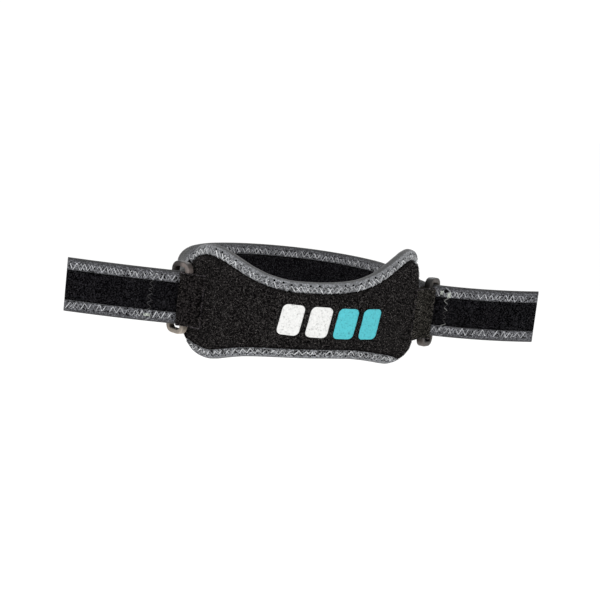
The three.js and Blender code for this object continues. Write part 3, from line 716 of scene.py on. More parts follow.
def stitch(body, place, surface, s0, s1, pitch, d_a, d_b, mats=(1, 2), r=(0.22, 0.18), lift=0.2, holes=True, hole_r=0.52, jitter=0.24, face=1, sides=5, cross=True, specks=0.0):
    """a zigzag run: place(s, d, h) gives a point and its outward direction"""
    n = int((s1 - s0) / (pitch / 2))
    knots = []
    for i in range(n + 1):
        s = s0 + i * pitch / 2 + rng.uniform(-jitter, jitter)
        d = (d_a(s) if i % 2 == 0 else d_b(s)) + rng.uniform(-jitter, jitter)
        knots.append((s, d))
    for i in range(n):
        (sa, da), (sb, db) = knots[i], knots[i + 1]
        if rng.random() < 0.05:
            continue
        bright = rng.random() < (0.85 if i % 2 == 0 else 0.45)
        pts, hints = [], []
        for t in (0.0, 0.12, 0.35, 0.65, 0.88, 1.0):
            s, d = sa + (sb - sa) * t, da + (db - da) * t
            up = -0.30 if t in (0.0, 1.0) else (0.10 if t in (0.12, 0.88) else lift)
            h = surface(s, d) + up
            p, nrm = place(s, d, h * face)
            pts.append(p)
            hints.append(nrm * face)
        body.tube(pts, r[i % 2] * rng.uniform(0.72, 1.12), hints, sides, mats[0] if bright else mats[1])
    if cross:
        # the second thread of the seam lies a quarter pitch on, lower and dimmer
        for i in range(n - 1):
            (sa, da), (sb, db) = knots[i], knots[i + 1]
            sa, sb = sa + pitch * 0.5 + rng.uniform(-0.3, 0.3), sb + pitch * 0.5 + rng.uniform(-0.3, 0.3)
            da, db = da + 0.35 * rng.uniform(0, 1) * (1 if db > da else -1), db - 0.6 * rng.uniform(0, 1) * (1 if db > da else -1)
            if sb > s1:
                break
            if rng.random() < 0.15:
                continue
            pts, hints = [], []
            for t in (0.0, 0.2, 0.5, 0.8, 1.0):
                s, d = sa + (sb - sa) * t + 0.18 * math.sin(math.pi * t), da + (db - da) * t
                p, nrm = place(s, d, (surface(s, d) + (-0.22 if t in (0.0, 1.0) else 0.06)) * face)
                pts.append(p)
                hints.append(nrm * face)
            body.tube(pts, rng.uniform(0.12, 0.19), hints, 4, mats[1] if rng.random() < 0.7 else mats[0])
    # painted shade: flat near-black specks beside the stitches
    for _ in range(int((s1 - s0) * specks)):
        s = rng.uniform(s0, s1)
        d = rng.uniform(d_a(s) - 0.2, d_b(s) + 0.1)
        a, b, turn = rng.uniform(0.28, 0.60), rng.uniform(0.18, 0.34), rng.uniform(0, math.pi)
        ring = []
        for k in range(7):
            t = 2 * math.pi * k / 7
            x, y = a * math.cos(t), b * math.sin(t)
            ss, dd = s + x * math.cos(turn) - y * math.sin(turn), d + x * math.sin(turn) + y * math.cos(turn)
            ring.append(place(ss, dd, (surface(ss, dd) + 0.15) * face)[0])
        body.add(ring, [tuple(range(7)) if face > 0 else tuple(range(7))[::-1]], 3)
    # painted shade: the needle holes are flat near-black discs on the tape
    if holes:
        for i, (s, d) in enumerate(knots):
            if i % 2:
                continue
            ring, hint = [], None
            for k in range(8):
                t = 2 * math.pi * k / 8
                dd = d - 0.42 + hole_r * math.sin(t)
                ss = s + hole_r * math.cos(t)
                q, hint = place(ss, dd, (surface(ss, dd) + 0.07) * face)
                ring.append(q)
            body.add(ring, [tuple(range(8)) if face > 0 else tuple(range(8))[::-1]], 3)


def pad_binding(which):
    er = EdgeRun(which)
    pitch = 4.05 if which == "top" else 3.6
    body = Body()
    n = int(er.length / 0.5)
    rings, cloth = [], []
    for i in range(n + 1):
        s = er.length * i / n
        w, half = er.width(s), er.thick(s) / 2
        puck = 0.10 * (0.5 + 0.5 * math.cos(2 * math.pi * s / pitch))
        ring = []
        for d, h in sample_section(w, half, puck):
            wob = noise.noise(Vector((s * 0.5, d * 0.8, h))) * 0.07
            p, _ = er.place(s, d, max(0.02, half + h * (1 + wob * 0.3) + (wob if h > 0 else 0)))
            ring.append(p)
            cloth.append((s, d, h))
        rings.append(ring)
    body.rings(rings, 0, cloth)

    def surface(s, d):
        half = er.thick(s) / 2
        return half + fold_profile(d, er.width(s), half)

    top = which == "top"
    d_in = (lambda s: min(2.1, er.width(s) * 0.4)) if top else (lambda s: min(1.9, er.width(s) * 0.42))
    d_out = (lambda s: er.width(s) + 0.05) if top else (lambda s: er.width(s) - 0.55)
    stitch(body, er.place, surface, 0.8, er.length - 0.8, pitch, d_in, d_out, lift=0.2, holes=True, hole_r=0.52 if top else 0.34, jitter=0.26 if top else 0.32, specks=0.4 if top else 2.2)

    # the same run where it comes out on the inner face, against the hollow
    def inner(s, d):
        half = er.thick(s) / 2
        return fold_profile(d, er.width(s), half) - half - 0.12

    stitch(body, er.place, inner, 0.8, er.length - 0.8, pitch, d_in, lambda s: er.width(s) - 0.5, lift=0.1, holes=False, face=-1, cross=False)

    ob = body.object(f"pad_tape_{which}", [M_TAPE, M_THREAD, M_THREAD_DIM, M_SHADE_BLACK])
    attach(ob, "root")
    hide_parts(f"pad_binding_{which}")
    return ob, er


# ----------------------------------------------------------------------- loops
def loop_frame(side):
    s = SIDES[side]
    sign = -1 if side == "left" else 1
    b_flat = Vector((sign * math.cos(rad(s["turn"])), math.sin(rad(s["turn"])), 0))
    lean = Vector((math.tan(rad(s["lean"])), 0, 1))
    n = Vector((sign * b_flat.y, -sign * b_flat.x, 0)).normalized()
    a = (lean - n * lean.dot(n)).normalized()
    b = n.cross(a).normalized()
    if b.dot(b_flat) < 0:
        b.negate()
    c = Vector((s["x"], s["y"], s["z"]))
    reach = (LOOP_SHORT - LOOP_BAR) / 2
    return dict(a=a, b=b, n=n, c=c, sign=sign, front=c - b * reach, rear=c + b * reach)


def rounded_path(w, h, r, steps, straight):
    """points and outward directions round a rounded rectangle"""
    out = []
    corners = [(w / 2 - r, h / 2 - r, 0), (-w / 2 + r, h / 2 - r, 90), (-w / 2 + r, -h / 2 + r, 180), (w / 2 - r, -h / 2 + r, 270)]
    for k, (cx, cy, start) in enumerate(corners):
        for i in range(steps + 1):
            t = rad(start + 90 * i / steps)
            out.append((cx + r * math.cos(t), cy + r * math.sin(t), math.cos(t), math.sin(t)))
        nx = corners[(k + 1) % 4]
        t = rad(start + 90)
        p0 = (cx + r * math.cos(t), cy + r * math.sin(t))
        p1 = (nx[0] + r * math.cos(t), nx[1] + r * math.sin(t))
        for i in range(1, straight):
            f = i / straight
            out.append((p0[0] + (p1[0] - p0[0]) * f, p0[1] + (p1[1] - p0[1]) * f, math.cos(t), math.sin(t)))
    return out


def loop_piece(side):
    f = loop_frame(side)
    body = Body()
    sec = rounded_path(LOOP_BAR, LOOP_DEPTH, 0.62, 5, 3)
    rings = []
    for x, y, nx, ny in rounded_path(LOOP_SHORT - LOOP_BAR, LOOP_LONG - LOOP_BAR, LOOP_CORNER - LOOP_BAR / 2, 10, 10):
        ring = []
        for u, v, un, _ in sec:
            part = 0.07 if (abs(v) < 0.3 and un > 0.9) else 0.0   # parting line round the outside
            ring.append(f["c"] + f["b"] * (x + nx * (u + part)) + f["a"] * (y + ny * (u + part)) + f["n"] * v)
        rings.append(ring)
    rings.append(rings[0])
    m = len(sec)
    verts = [p for r in rings[:-1] for p in r]
    faces = []
    k = len(rings) - 1
    for i in range(k):
        for j in range(m):
            a, b = i * m + j, i * m + (j + 1) % m
            c, d = ((i + 1) % k) * m + j, ((i + 1) % k) * m + (j + 1) % m
            faces.append((a, b, d, c))
    body.add(verts, faces, 0)
    low, high = min(p[2] for p in body.v), max(p[2] for p in body.v)
    top = [p[0] for p in body.v if p[2] > high - 5]
    # painted light and shade: both loops are one plastic; the left loop gets a lit copy of the colour, about three
    # times lighter than the right loop's, and a lightened foot
    colour, foot_light_factor = ((0.108, 0.090, 0.083), (1.45, 1.50, 1.36)) if side == "left" else ((0.033, 0.027, 0.023), (1.0, 1.0, 1.0))
    mat = moulded(f"loop_plastic_{side}", colour, (min(top), max(top), low, high, foot_light_factor))
    ob = body.object(f"ring_{side}", [mat])
    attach(ob, "root")
    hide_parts(f"loop_{side}")
    return ob


# ------------------------------------------------------------------------ tabs
def catmull(points, per=6, closed=False):
    out = []
    n = len(points)
    rng_i = range(n if closed else n - 1)
    for i in rng_i:
        p0 = points[(i - 1) % n] if closed or i > 0 else points[0]
        p1, p2 = points[i], points[(i + 1) % n]
        p3 = points[(i + 2) % n] if closed or i + 2 < n else points[-1]
        for k in range(per):
            t = k / per
            out.append(tuple(0.5 * ((2 * b) + (-a + c) * t + (2 * a - 5 * b + 4 * c - d) * t * t + (-a + 3 * b - 3 * c + d) * t**3) for a, b, c, d in zip(p0, p1, p2, p3)))
    if not closed:
        out.append(tuple(points[-1]))
    return out


def tab_piece(side):
    f, s = loop_frame(side), SIDES[side]
    F, B, N = (Vector((v.x, v.y)) for v in (f["front"], f["b"], f["n"]))
    B.normalize()
    N.normalize()
    hb, hn = LOOP_BAR / 2 + CLEAR, LOOP_DEPTH / 2 + CLEAR
    at = lambda u, v: tuple(F + B * u + N * v)
    polar = lambda az, r: (r * math.sin(rad(az)), -r * math.cos(rad(az)))
    tw = 1 if side == "left" else -1
    pad_r = lambda az: HOLLOW_R + PAD_MID * taper(az) + CLEAR
    bar_az = deg(math.atan2(F.x, -F.y))
    run = abs(s["seam"] - bar_az)
    seam = s["seam"]
    outer = [polar(seam + 0.12 * tw, pad_r(seam) + 0.62), polar(seam + 0.02 * tw, pad_r(seam) + 1.25), polar(seam - 0.10 * run * tw, pad_r(seam) + 1.35),
             polar(seam - 0.28 * run * tw, pad_r(seam) + 2.35), polar(seam - 0.56 * run * tw, pad_r(seam) + 2.95)]
    R = TAB_T
    outer.append(at(-hb * 0.4, hn + R))
    for u, v, a0, a1 in ((hb - 0.5, hn - 0.5, 90, 0), (hb - 0.5, -hn + 0.5, 0, -90)):
        for i in range(4):
            t = rad(a0 + (a1 - a0) * (i + 0.5) / 4)
            outer.append(at(u + (R + 0.5) * math.cos(t), v + (R + 0.5) * math.sin(t)))
    outer.append(at(-hb * 0.4, -hn - R))
    for k in (0.62, 0.36, 0.12):
        az = seam - k * run * tw
        outer.append(polar(az, max(pad_r(az) + 0.10, pad_r(seam) - 0.35)))
    outer.append(polar(seam + 0.05 * tw, pad_r(seam) + 0.05))
    loop = catmull(outer, 6, closed=True)
    m = len(loop)
    cx = sum(p[0] for p in loop) / m
    cy = sum(p[1] for p in loop) / m
    area = sum(loop[i][0] * loop[(i + 1) % m][1] - loop[(i + 1) % m][0] * loop[i][1] for i in range(m))
    sgn = 1 if area > 0 else -1
    normals = []
    for i in range(m):
        a, b = loop[i - 1], loop[(i + 1) % m]
        t = Vector((b[0] - a[0], b[1] - a[1])).normalized()
        normals.append(Vector((t.y, -t.x)) * sgn)
    ax, ay = f["a"].x / f["a"].z, f["a"].y / f["a"].z
    H = TAB_W / 2
    rows = [(-H, 0.62), (-H + 0.08, 0.36), (-H + 0.25, 0.15), (-H + 0.5, 0.03)]
    k = 44
    rows += [(-H + 0.8 + (2 * H - 1.6) * i / (k - 1), 0.0) for i in range(k)]
    rows += [(H - 0.5, 0.03), (H - 0.25, 0.15), (H - 0.08, 0.36), (H, 0.62)]
    rings = []
    for h, inset in rows:
        ring = []
        for i in range(m):
            p = loop[i]
            q = Vector((p[0] + h * ax, p[1] + h * ay, s["z"] + h))
            n = normals[i]
            seam_line = 1.0 - smooth(abs((Vector(p) - Vector(polar(seam - 0.07 * run * tw, pad_r(seam) + 1.3))).length - 0.0) / 1.1)
            amp = 0.20 * noise.noise(q * 0.72) + 0.10 * noise.noise(q * 1.6) + 0.25 * noise.noise(q * 0.19)
            amp -= 0.25 * seam_line
            out_face = (Vector(p).length > pad_r(seam) + 0.9)
            d = -inset + (amp if out_face else min(0.0, amp) * 0.3)
            ring.append(q + Vector((n.x, n.y, 0)) * d)
        rings.append(ring)
    body = Body()
    hole = [Vector((*at(x, y), 0)) for x, y, _, _ in rounded_path(2 * hb, 2 * hn, 0.6, 3, 2)]
    body.rings(rings, 0, None, caps=False)
    # the two ends of the folded band, open round the bar
    for r_i, reverse in ((0, True), (len(rings) - 1, False)):
        h = rows[r_i][0]
        hole_ring = [Vector((q.x + h * ax, q.y + h * ay, s["z"] + h)) for q in hole]
        ring = rings[r_i]
        tris = tessellate_polygon([[Vector((p.x, p.y, 0)) for p in ring], [Vector((p.x, p.y, 0)) for p in hole_ring]])
        pts = [p.copy() for p in ring] + hole_ring
        body.add(pts, [t if not reverse else t[::-1] for t in tris], 0)
    # wall round the bar
    lo = [Vector((q.x + rows[0][0] * ax, q.y + rows[0][0] * ay, s["z"] + rows[0][0])) for q in hole]
    hi = [Vector((q.x + rows[-1][0] * ax, q.y + rows[-1][0] * ay, s["z"] + rows[-1][0])) for q in hole]
    body.rings([lo, hi], 0, None, caps=False)
    # seam: a row of short dark stitches beside the sewn edge, in the near-black shade material; they also stand for
    # the shadow line beside the lit cut edge, partly painted shade
    z = -H + 1.0
    while z < H - 2.2:
        pts, hints = [], []
        for t in (0.0, 0.2, 0.5, 0.8, 1.0):
            az = seam - 0.075 * run * tw
            up = -0.35 if t in (0.0, 1.0) else 0.10
            hh = z + 1.7 * t
            p = Vector((*polar(az + rng.uniform(-0.04, 0.04), pad_r(seam) + 1.18 + up), s["z"] + hh)) + Vector((hh * ax, hh * ay, 0))
            pts.append(p)
            hints.append(out_of(az))
        body.tube(pts, 0.2, hints, 5, 1)
        z += 2.25
    # pile over the fold
    for _ in range(9000):
        i = rng.randrange(m)
        j = (i + 1) % m
        t, h = rng.random(), rng.uniform(-H + 0.1, H - 0.1)
        q = Vector((loop[i][0] * (1 - t) + loop[j][0] * t + h * ax, loop[i][1] * (1 - t) + loop[j][1] * t + h * ay, s["z"] + h))
        if Vector((q.x, q.y)).length < pad_r(seam) + 0.5:
            continue
        nn = Vector((normals[i].x, normals[i].y, 0)).normalized()
        fibre(body, q + nn * (0.20 * noise.noise(q * 0.72) + 0.25 * noise.noise(q * 0.19)), nn, 2, rng.uniform(0.35, 0.8), rng.uniform(0.17, 0.30), clump(q))
    # the cut edges catch the light: a fringe of paler fibres along them
    for _ in range(1500):
        i = rng.randrange(m)
        j = (i + 1) % m
        t, e = rng.random(), rng.choice((-1, 1))
        h = e * (H - rng.uniform(0.0, 0.35))
        q = Vector((loop[i][0] * (1 - t) + loop[j][0] * t + h * ax, loop[i][1] * (1 - t) + loop[j][1] * t + h * ay, s["z"] + h))
        if Vector((q.x, q.y)).length < pad_r(seam) + 0.8 or (e < 0 and rng.random() < 0.5):
            continue
        nn = (Vector((normals[i].x, normals[i].y, 0)).normalized() * 0.8 + Vector((0, 0, e * 0.6))).normalized()
        fibre(body, q - nn * 0.1, nn, 3, rng.uniform(0.35, 0.7), rng.uniform(0.18, 0.30), rng.uniform(0.45, 1.0), 0.6)
    # painted highlight: a second fringe of pale fibres along the sewn end
    for _ in range(420):
        az = seam + rng.uniform(0.0, 0.4) * tw
        h = rng.uniform(-H + 0.3, H - 0.3)
        p = Vector((*polar(az, pad_r(seam) + rng.uniform(0.35, 1.2)), s["z"] + h)) + Vector((h * ax, h * ay, 0))
        fibre(body, p, out_of(az), 3, rng.uniform(0.3, 0.6), rng.uniform(0.18, 0.28), rng.uniform(0.35, 0.9), 0.8)
    ob = body.object(f"tab_fold_{side}", [M_TAB[side], M_SHADE_BLACK, M_TAB_PILE[side], M_TAB_EDGE_LIT])
    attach(ob, "root")
    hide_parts(f"tab_{side}")
    return ob


# ----------------------------------------------------------------------- strap
STRAP_R = HOLLOW_R + STRAP_T / 2
TURN_R = 2.3 + STRAP_T / 2


class Half:
    """one side of the strap's route, from where it leaves the hollow to its tip"""

    def __init__(self, side):
        self.side, self.f, self.p = side, loop_frame(side), SIDES[side]
        f, s, sign = self.f, self.p, self.f["sign"]
        self.sign = sign
        P = Vector((f["rear"].x, f["rear"].y))
        self.P, d = P, P.length
        az_p = deg(math.atan2(P.x, -P.y))
        alpha = deg(math.acos((STRAP_R + TURN_R) / d))
        self.az_leave = az_p + sign * alpha
        self.h0 = Vector((math.cos(rad(self.az_leave)), math.sin(rad(self.az_leave)))) * -sign
        self.start = Vector((STRAP_R * math.sin(rad(self.az_leave)), -STRAP_R * math.cos(rad(self.az_leave))))
        self.run = math.sqrt(d * d - (STRAP_R + TURN_R) ** 2)
        self.h_tail = Vector((sign * math.cos(rad(s["tailTurn"])), -math.sin(rad(s["tailTurn"]))))
        self.a0 = math.atan2(self.h0.y, self.h0.x)
        turn = math.atan2(self.h_tail.y, self.h_tail.x) - self.a0
        while turn > math.pi:
            turn -= 2 * math.pi
        while turn < -math.pi:
            turn += 2 * math.pi
        self.turn = turn
        self.arc = abs(turn) * TURN_R
        self.length = self.run + self.arc + TAIL_LENGTH

    def normal(self, h):
        return Vector((-h.y, h.x)) * self.sign

    def at(self, s):
        """middle, outward direction, width direction and distance along the tail"""
        p, tail = self.p, None
        if s <= self.run:
            t = s / self.run
            q, n, lean = self.start + self.h0 * s, self.normal(self.h0), t * t
            az = deg(math.atan2(q.x, -q.y))
            z = column(BACK_HEIGHTS, 1, az if self.side == "left" else az - 360) if t < 1 else p["strapZ"]
            blend = smooth((t - 0.8) / 0.2)
            z = z * (1 - blend) + p["strapZ"] * blend
        elif s <= self.run + self.arc:
            t = self.a0 + self.turn * (s - self.run) / self.arc
            h = Vector((math.cos(t), math.sin(t)))
            n = self.normal(h)
            q, lean, z = self.P - n * TURN_R, 1.0, p["strapZ"]
        else:
            tail = min(1.0, (s - self.run - self.arc) / TAIL_LENGTH)
            n = self.normal(self.h_tail)
            q = self.P - n * TURN_R + self.h_tail * (TAIL_LENGTH * tail)
            lean, z = max(0.0, 1 - 3 * tail), p["strapZ"] + p["tailRise"] * tail * tail
        up = Vector((self.f["a"].x / self.f["a"].z * lean, self.f["a"].y / self.f["a"].z * lean, 1))
        zo = z - p["z"] if lean else 0.0
        return Vector((q.x + up.x * zo, q.y + up.y * zo, z)), Vector((n.x, n.y, 0)), up, tail


class Route:
    def __init__(self):
        self.L, self.R = Half("left"), Half("right")
        self.az0, self.az1 = self.L.az_leave, self.R.az_leave - 360
        self.back = abs(self.az1 - self.az0) * rad(1) * STRAP_R
        self.s_left = self.L.length
        self.s_right = self.L.length + self.back
        self.length = self.s_right + self.R.length

    def at(self, s):
        s = min(self.length, max(0.0, s))
        if s < self.s_left:
            m, n, up, _ = self.L.at(self.L.length - s)
        elif s <= self.s_right:
            az = self.az0 + (self.az1 - self.az0) * (s - self.s_left) / self.back
            m, n, up = on_hollow(az, STRAP_R, column(BACK_HEIGHTS, 1, az)), out_of(az), Vector((0, 0, 1))
        else:
            m, n, up, _ = self.R.at(s - self.s_right)
        return m, n, up

    def stations(self):
        out, s = [], 0.0
        while s < self.length:
            out.append(s)
            from_bar = min(abs(s - TAIL_LENGTH - self.L.arc / 2), abs(self.length - s - TAIL_LENGTH - self.R.arc / 2))
            s += 0.45 if from_bar < 9 else 0.8
        out.append(self.length)
        return out


ROUTE = Route()
S_ALL = ROUTE.stations()


def strap_wave(s, b):
    return 0.0


def strap_place(s, b, h):
    m, n, up = ROUTE.at(s)
    return m + n * h + up * b, n


def end_shrink(s):
    """1 along the strap, falling at its two cut ends as a small rounded edge"""
    d = min(s, ROUTE.length - s)
    return 0.72 + 0.28 * math.sqrt(max(0.0, 1 - (1 - min(1.0, d / 0.8)) ** 2))


def seam_places():
    """where the hook patches' seams cross the tails"""
    return {"left": TAIL_LENGTH - 10.6, "right": ROUTE.length - TAIL_LENGTH + 5.8}


def strap_core():
    body = Body()
    H, c = STRAP_W / 2, STRAP_CORE_T / 2
    thin = STRAP_T / 2 - 0.9 - 0.05
    edge = H - STRAP_BIND_W
    bs = [H - 1.3, H - 3.0, edge + 0.2, edge - 0.15, edge - 0.5, edge - 1.0, edge - 1.7]
    fine = []
    k = 20
    for i in range(1, k):
        fine.append(bs[-1] - 2 * bs[-1] * i / k)
    allb = bs + fine + [-b for b in bs[::-1]]
    seams = seam_places().values()

    def half(b):
        inside = smooth((edge + 0.1 - abs(b)) / 1.0)
        return thin + (c + 0.10 - thin) * inside

    rings, cloth = [], []
    for s in S_ALL:
        m, n, up = ROUTE.at(s)
        e = end_shrink(s)
        dent = sum(0.28 * math.exp(-(((s - q) / 1.1) ** 2)) for q in seams)
        ring = []
        for sg, order in ((1, allb), (-1, allb[::-1])):
            for b in order:
                p = m + up * b
                rough = 0.0
                if abs(b) < edge - 0.3:
                    q = p + n * (sg * 2)
                    rough = 0.09 * noise.noise(q * 0.9) + 0.07 * noise.noise(q * 0.4)
                    rough -= dent
                ring.append(p + n * sg * (half(b) * e + rough))
                cloth.append((s, b, sg))
        rings.append(ring)
    body.rings(rings, 0, cloth)
    pile = Body()
    for _ in range(52000):
        s, b, sg = rng.uniform(0.4, ROUTE.length - 0.4), rng.uniform(-edge + 0.2, edge - 0.2), rng.choice((-1, 1))
        m, n, up = ROUTE.at(s)
        fibre(pile, m + up * b + n * sg * (half(b) - 0.02), n * sg, 0, rng.uniform(0.25, 0.5), rng.uniform(0.15, 0.25), clump(m + up * b + n * (sg * 4)), 1.2)
    nap = pile.object("strap_nap", [M_STRAP_PILE])
    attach(nap, "root")
    ob = body.object("strap_band", [M_STRAP])
    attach(ob, "root")
    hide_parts("strap")
    return ob


def strap_tape(name, sign):
    body = Body()
    H, half, w = STRAP_W / 2, STRAP_T / 2, STRAP_BIND_W
    pitch = 3.4
    rings, cloth = [], []
    for s in S_ALL:
        m, n, up = ROUTE.at(s)
        e = end_shrink(s)
        puck = 0.10 * (0.5 + 0.5 * math.cos(2 * math.pi * s / pitch))
        ring = []
        for d, h in sample_section(w, half, puck):
            wob = noise.noise(Vector((s * 0.45, d * 0.8, h * 0.7 + 20 * sign))) * 0.07
            ring.append(m + up * sign * (H - d) + n * (h * e + (wob if abs(h) > 0.9 else 0)))
            cloth.append((s, d, h))
        rings.append(ring)
    body.rings(rings, 0, cloth)

    def place(s, d, h):
        return strap_place(s, sign * (H - d), h)

    def surface(s, d):
        return fold_profile(d, w, half)

    for face in (-1, 1):
        stitch(body, place, surface, 1.0, ROUTE.length - 1.0, pitch, lambda s: 2.15, lambda s: w - 0.45, face=face, holes=False, lift=0.18, jitter=0.38, specks=1.4)
    # thread of the cross seams where it lies on the tape
    for side, q in seam_places().items():
        s_a, s_b = q - 1.25, q + 1.25
        ds = [0.7, 2.3, 3.9, 5.4]
        for face in (-1, 1):
            for i in range(len(ds) - 1):
                a, b = ((s_a, ds[i]), (s_b, ds[i + 1])) if i % 2 == 0 else ((s_b, ds[i]), (s_a, ds[i + 1]))
                pts, hints = [], []
                for t in (0.0, 0.15, 0.5, 0.85, 1.0):
                    s, d = a[0] + (b[0] - a[0]) * t, a[1] + (b[1] - a[1]) * t
                    up_ = -0.2 if t in (0, 1) else 0.32
                    p, nn = place(s, d, face * (fold_profile(d, w, half) + up_))
                    pts.append(p)
                    hints.append(nn * face)
                body.tube(pts, 0.24, hints, 6, 2)
    ob = body.object(name, [M_TAPE_STRAP, M_THREAD_STRAP, M_THREAD_STRAP_DIM, M_SHADE_BLACK])
    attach(ob, "root")
    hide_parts("strap_binding_upper" if sign > 0 else "strap_binding_lower")
    return ob


def cross_seams():
    """zigzag thread across the plush of each tail, where its hook patch begins"""
    body = Body()
    edge = STRAP_W / 2 - STRAP_BIND_W
    c = STRAP_CORE_T / 2
    for side, q in seam_places().items():
        n = 9
        knots = [(q + (1.15 if i % 2 else -1.15) + rng.uniform(-0.38, 0.38), -edge + 2 * edge * (i + (rng.uniform(-0.22, 0.22) if 0 < i < n else 0)) / n) for i in range(n + 1)]
        for face in (-1, 1):
            for (sa, ba), (sb, bb) in zip(knots, knots[1:]):
                pale = rng.random() < (0.6 if side == "right" else 0.5)
                pts, hints = [], []
                for t in (0.0, 0.15, 0.5, 0.85, 1.0):
                    s, b = sa + (sb - sa) * t, ba + (bb - ba) * t
                    up_ = -0.25 if t in (0, 1) else (0.12 if pale else -0.02)
                    p, nn = strap_place(s, b, face * (c - 0.1 + up_))
                    pts.append(p)
                    hints.append(nn * face)
                body.tube(pts, 0.23 if pale and side == "right" else 0.14, hints, 5, (1 if side == "right" else 2) if pale else 0)
    ob = body.object("cross_seams", [M_THREAD_DARK, M_SEAM, M_SEAM_DIM])
    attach(ob, "root")
    return ob


def tangle(body, s0, d0, half_s, half_d, upper, mat, steps=70, r=0.22, front=-1):
    """a matted snarl of thread on a tail's tape, round (s0, d0)"""
    H, half = STRAP_W / 2, STRAP_T / 2
    sign = 1 if upper else -1
    pts, hints = [], []
    for i in range(steps):
        t = i / (steps - 1)
        s = s0 + half_s * (0.75 * math.sin(17.3 * t + 0.5) + 0.25 * math.sin(41.0 * t + 2.0))
        d = d0 + half_d * (0.8 * math.cos(11.1 * t + 1.1) + 0.2 * math.sin(37.0 * t))
        h = half + 0.22 + 0.22 * math.sin(23.0 * t + 0.7) + 0.10 * math.sin(51.0 * t)
        p, n = strap_place(s, sign * (H - d), front * h)
        pts.append(p)
        hints.append(n * front)
    body.tube(pts, r, hints, 6, mat)


def loose_knot():
    """a snarl of thread and the hole beside it on the right tail's upper tape, and
    a smaller one on the left tail's lower tape"""
    body = Body()
    q = seam_places()["right"]
    H, half = STRAP_W / 2, STRAP_T / 2
    tangle(body, q + 0.75, 4.3, 0.95, 1.35, True, 0, 110, 0.24)
    tangle(body, q - 2.9, 3.4, 0.75, 1.0, True, 0, 34, 0.17)
    tangle(body, seam_places()["left"] - 0.6, 3.3, 1.7, 0.55, False, 0, 60, 0.19)
    # painted shade: the hole beside the snarl is a flat near-black disc
    ring = []
    for k in range(14):
        t = 2 * math.pi * k / 14
        wob = 1 + 0.16 * math.sin(3 * t + 1) + 0.08 * math.sin(5 * t)
        s, d = q - 0.55 + 1.45 * wob * math.cos(t), 2.5 + 1.15 * wob * math.sin(t)
        p, n = strap_place(s, H - d, -(fold_profile(d, STRAP_BIND_W, half) + 0.24))
        ring.append(p)
    body.add(ring, [tuple(range(14))[::-1]], 1)
    ob = body.object("thread_snarl", [M_KNOT, M_SHADE_BLACK])
    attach(ob, "root")
    return ob


def hook_piece(side):
    body = Body()
    s0 = {"left": TAIL_LENGTH - SIDES["left"]["seamStart"], "right": ROUTE.length - TAIL_LENGTH + SIDES["right"]["seamStart"]}[side]
    s1 = TAIL_LENGTH * 0.05 if side == "left" else ROUTE.length - TAIL_LENGTH * 0.05
    near, plate = STRAP_T / 2 + 0.12, 0.55
    H, r = HOOK_W / 2, 1.6
    n = 46
    rings = []
    for i in range(n + 1):
        s = s0 + (s1 - s0) * i / n
        m, nn, up = ROUTE.at(s)
        d = min(abs(s - s0), abs(s1 - s))
        hh = H - (r - math.sqrt(max(0.0, r * r - (r - min(r, d)) ** 2)))
        ring = []
        for h, b in ((near, hh - 0.2), (near + 0.15, hh), (near + plate - 0.15, hh), (near + plate, hh - 0.25), (near + plate, hh * 0.5), (near + plate, 0),
                     (near + plate, -hh * 0.5), (near + plate, -hh + 0.25), (near + plate - 0.15, -hh), (near + 0.15, -hh), (near, -hh + 0.2)):
            ring.append(m + nn * h + up * b)
        rings.append(ring)
    body.rings(rings, 0)
    # rows of small bent hooks
    lo, hi = min(s0, s1) + 1.6, max(s0, s1) - 1.0
    rows = int((2 * H - 2.4) / 1.15)
    cols = int((hi - lo) / 1.25)
    for i in range(cols + 1):
        for j in range(rows + 1):
            s = lo + (hi - lo) * i / cols + (0.3 if j % 2 else -0.3)
            b = -H + 1.2 + (2 * H - 2.4) * j / rows
            m, nn, up = ROUTE.at(s)
            m2, _, _ = ROUTE.at(s + 0.3)
            along = (m2 - m).normalized() * (1 if j % 2 else -1)
            base = m + up * b + nn * (near + plate)
            tip = [base, base + nn * 0.35, base + nn * 0.62 + along * 0.14, base + nn * 0.60 + along * 0.42]
            body.tube(tip, [0.17, 0.13, 0.12, 0.08], [up] * 4, 4, 0)
    # stitching round the patch
    w_in = 1.1
    path = []
    steps = 16
    for i in range(steps + 1):
        path.append((s0 + (s1 - s0) * (0.03 + 0.94 * i / steps), H - w_in))
    for i in range(1, 9):
        path.append((s0 + (s1 - s0) * 0.97, H - w_in - (2 * H - 2 * w_in) * i / 9))
    for i in range(steps + 1):
        path.append((s0 + (s1 - s0) * (0.97 - 0.94 * i / steps), -H + w_in))
    for (sa, ba), (sb, bb) in zip(path, path[1:]):
        pts, hints = [], []
        for t in (0.06, 0.25, 0.75, 0.94):
            s, b = sa + (sb - sa) * t, ba + (bb - ba) * t
            m, nn, up = ROUTE.at(s)
            pts.append(m + up * b + nn * (near + plate + (0.14 if 0.1 < t < 0.9 else -0.05)))
            hints.append(nn)
        body.tube(pts, 0.16, hints, 5, 1)
    ob = body.object(f"hook_face_{side}", [M_HOOK, M_THREAD_DARK])
    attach(ob, "root")
    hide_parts(f"hook_patch_{side}")
    return ob


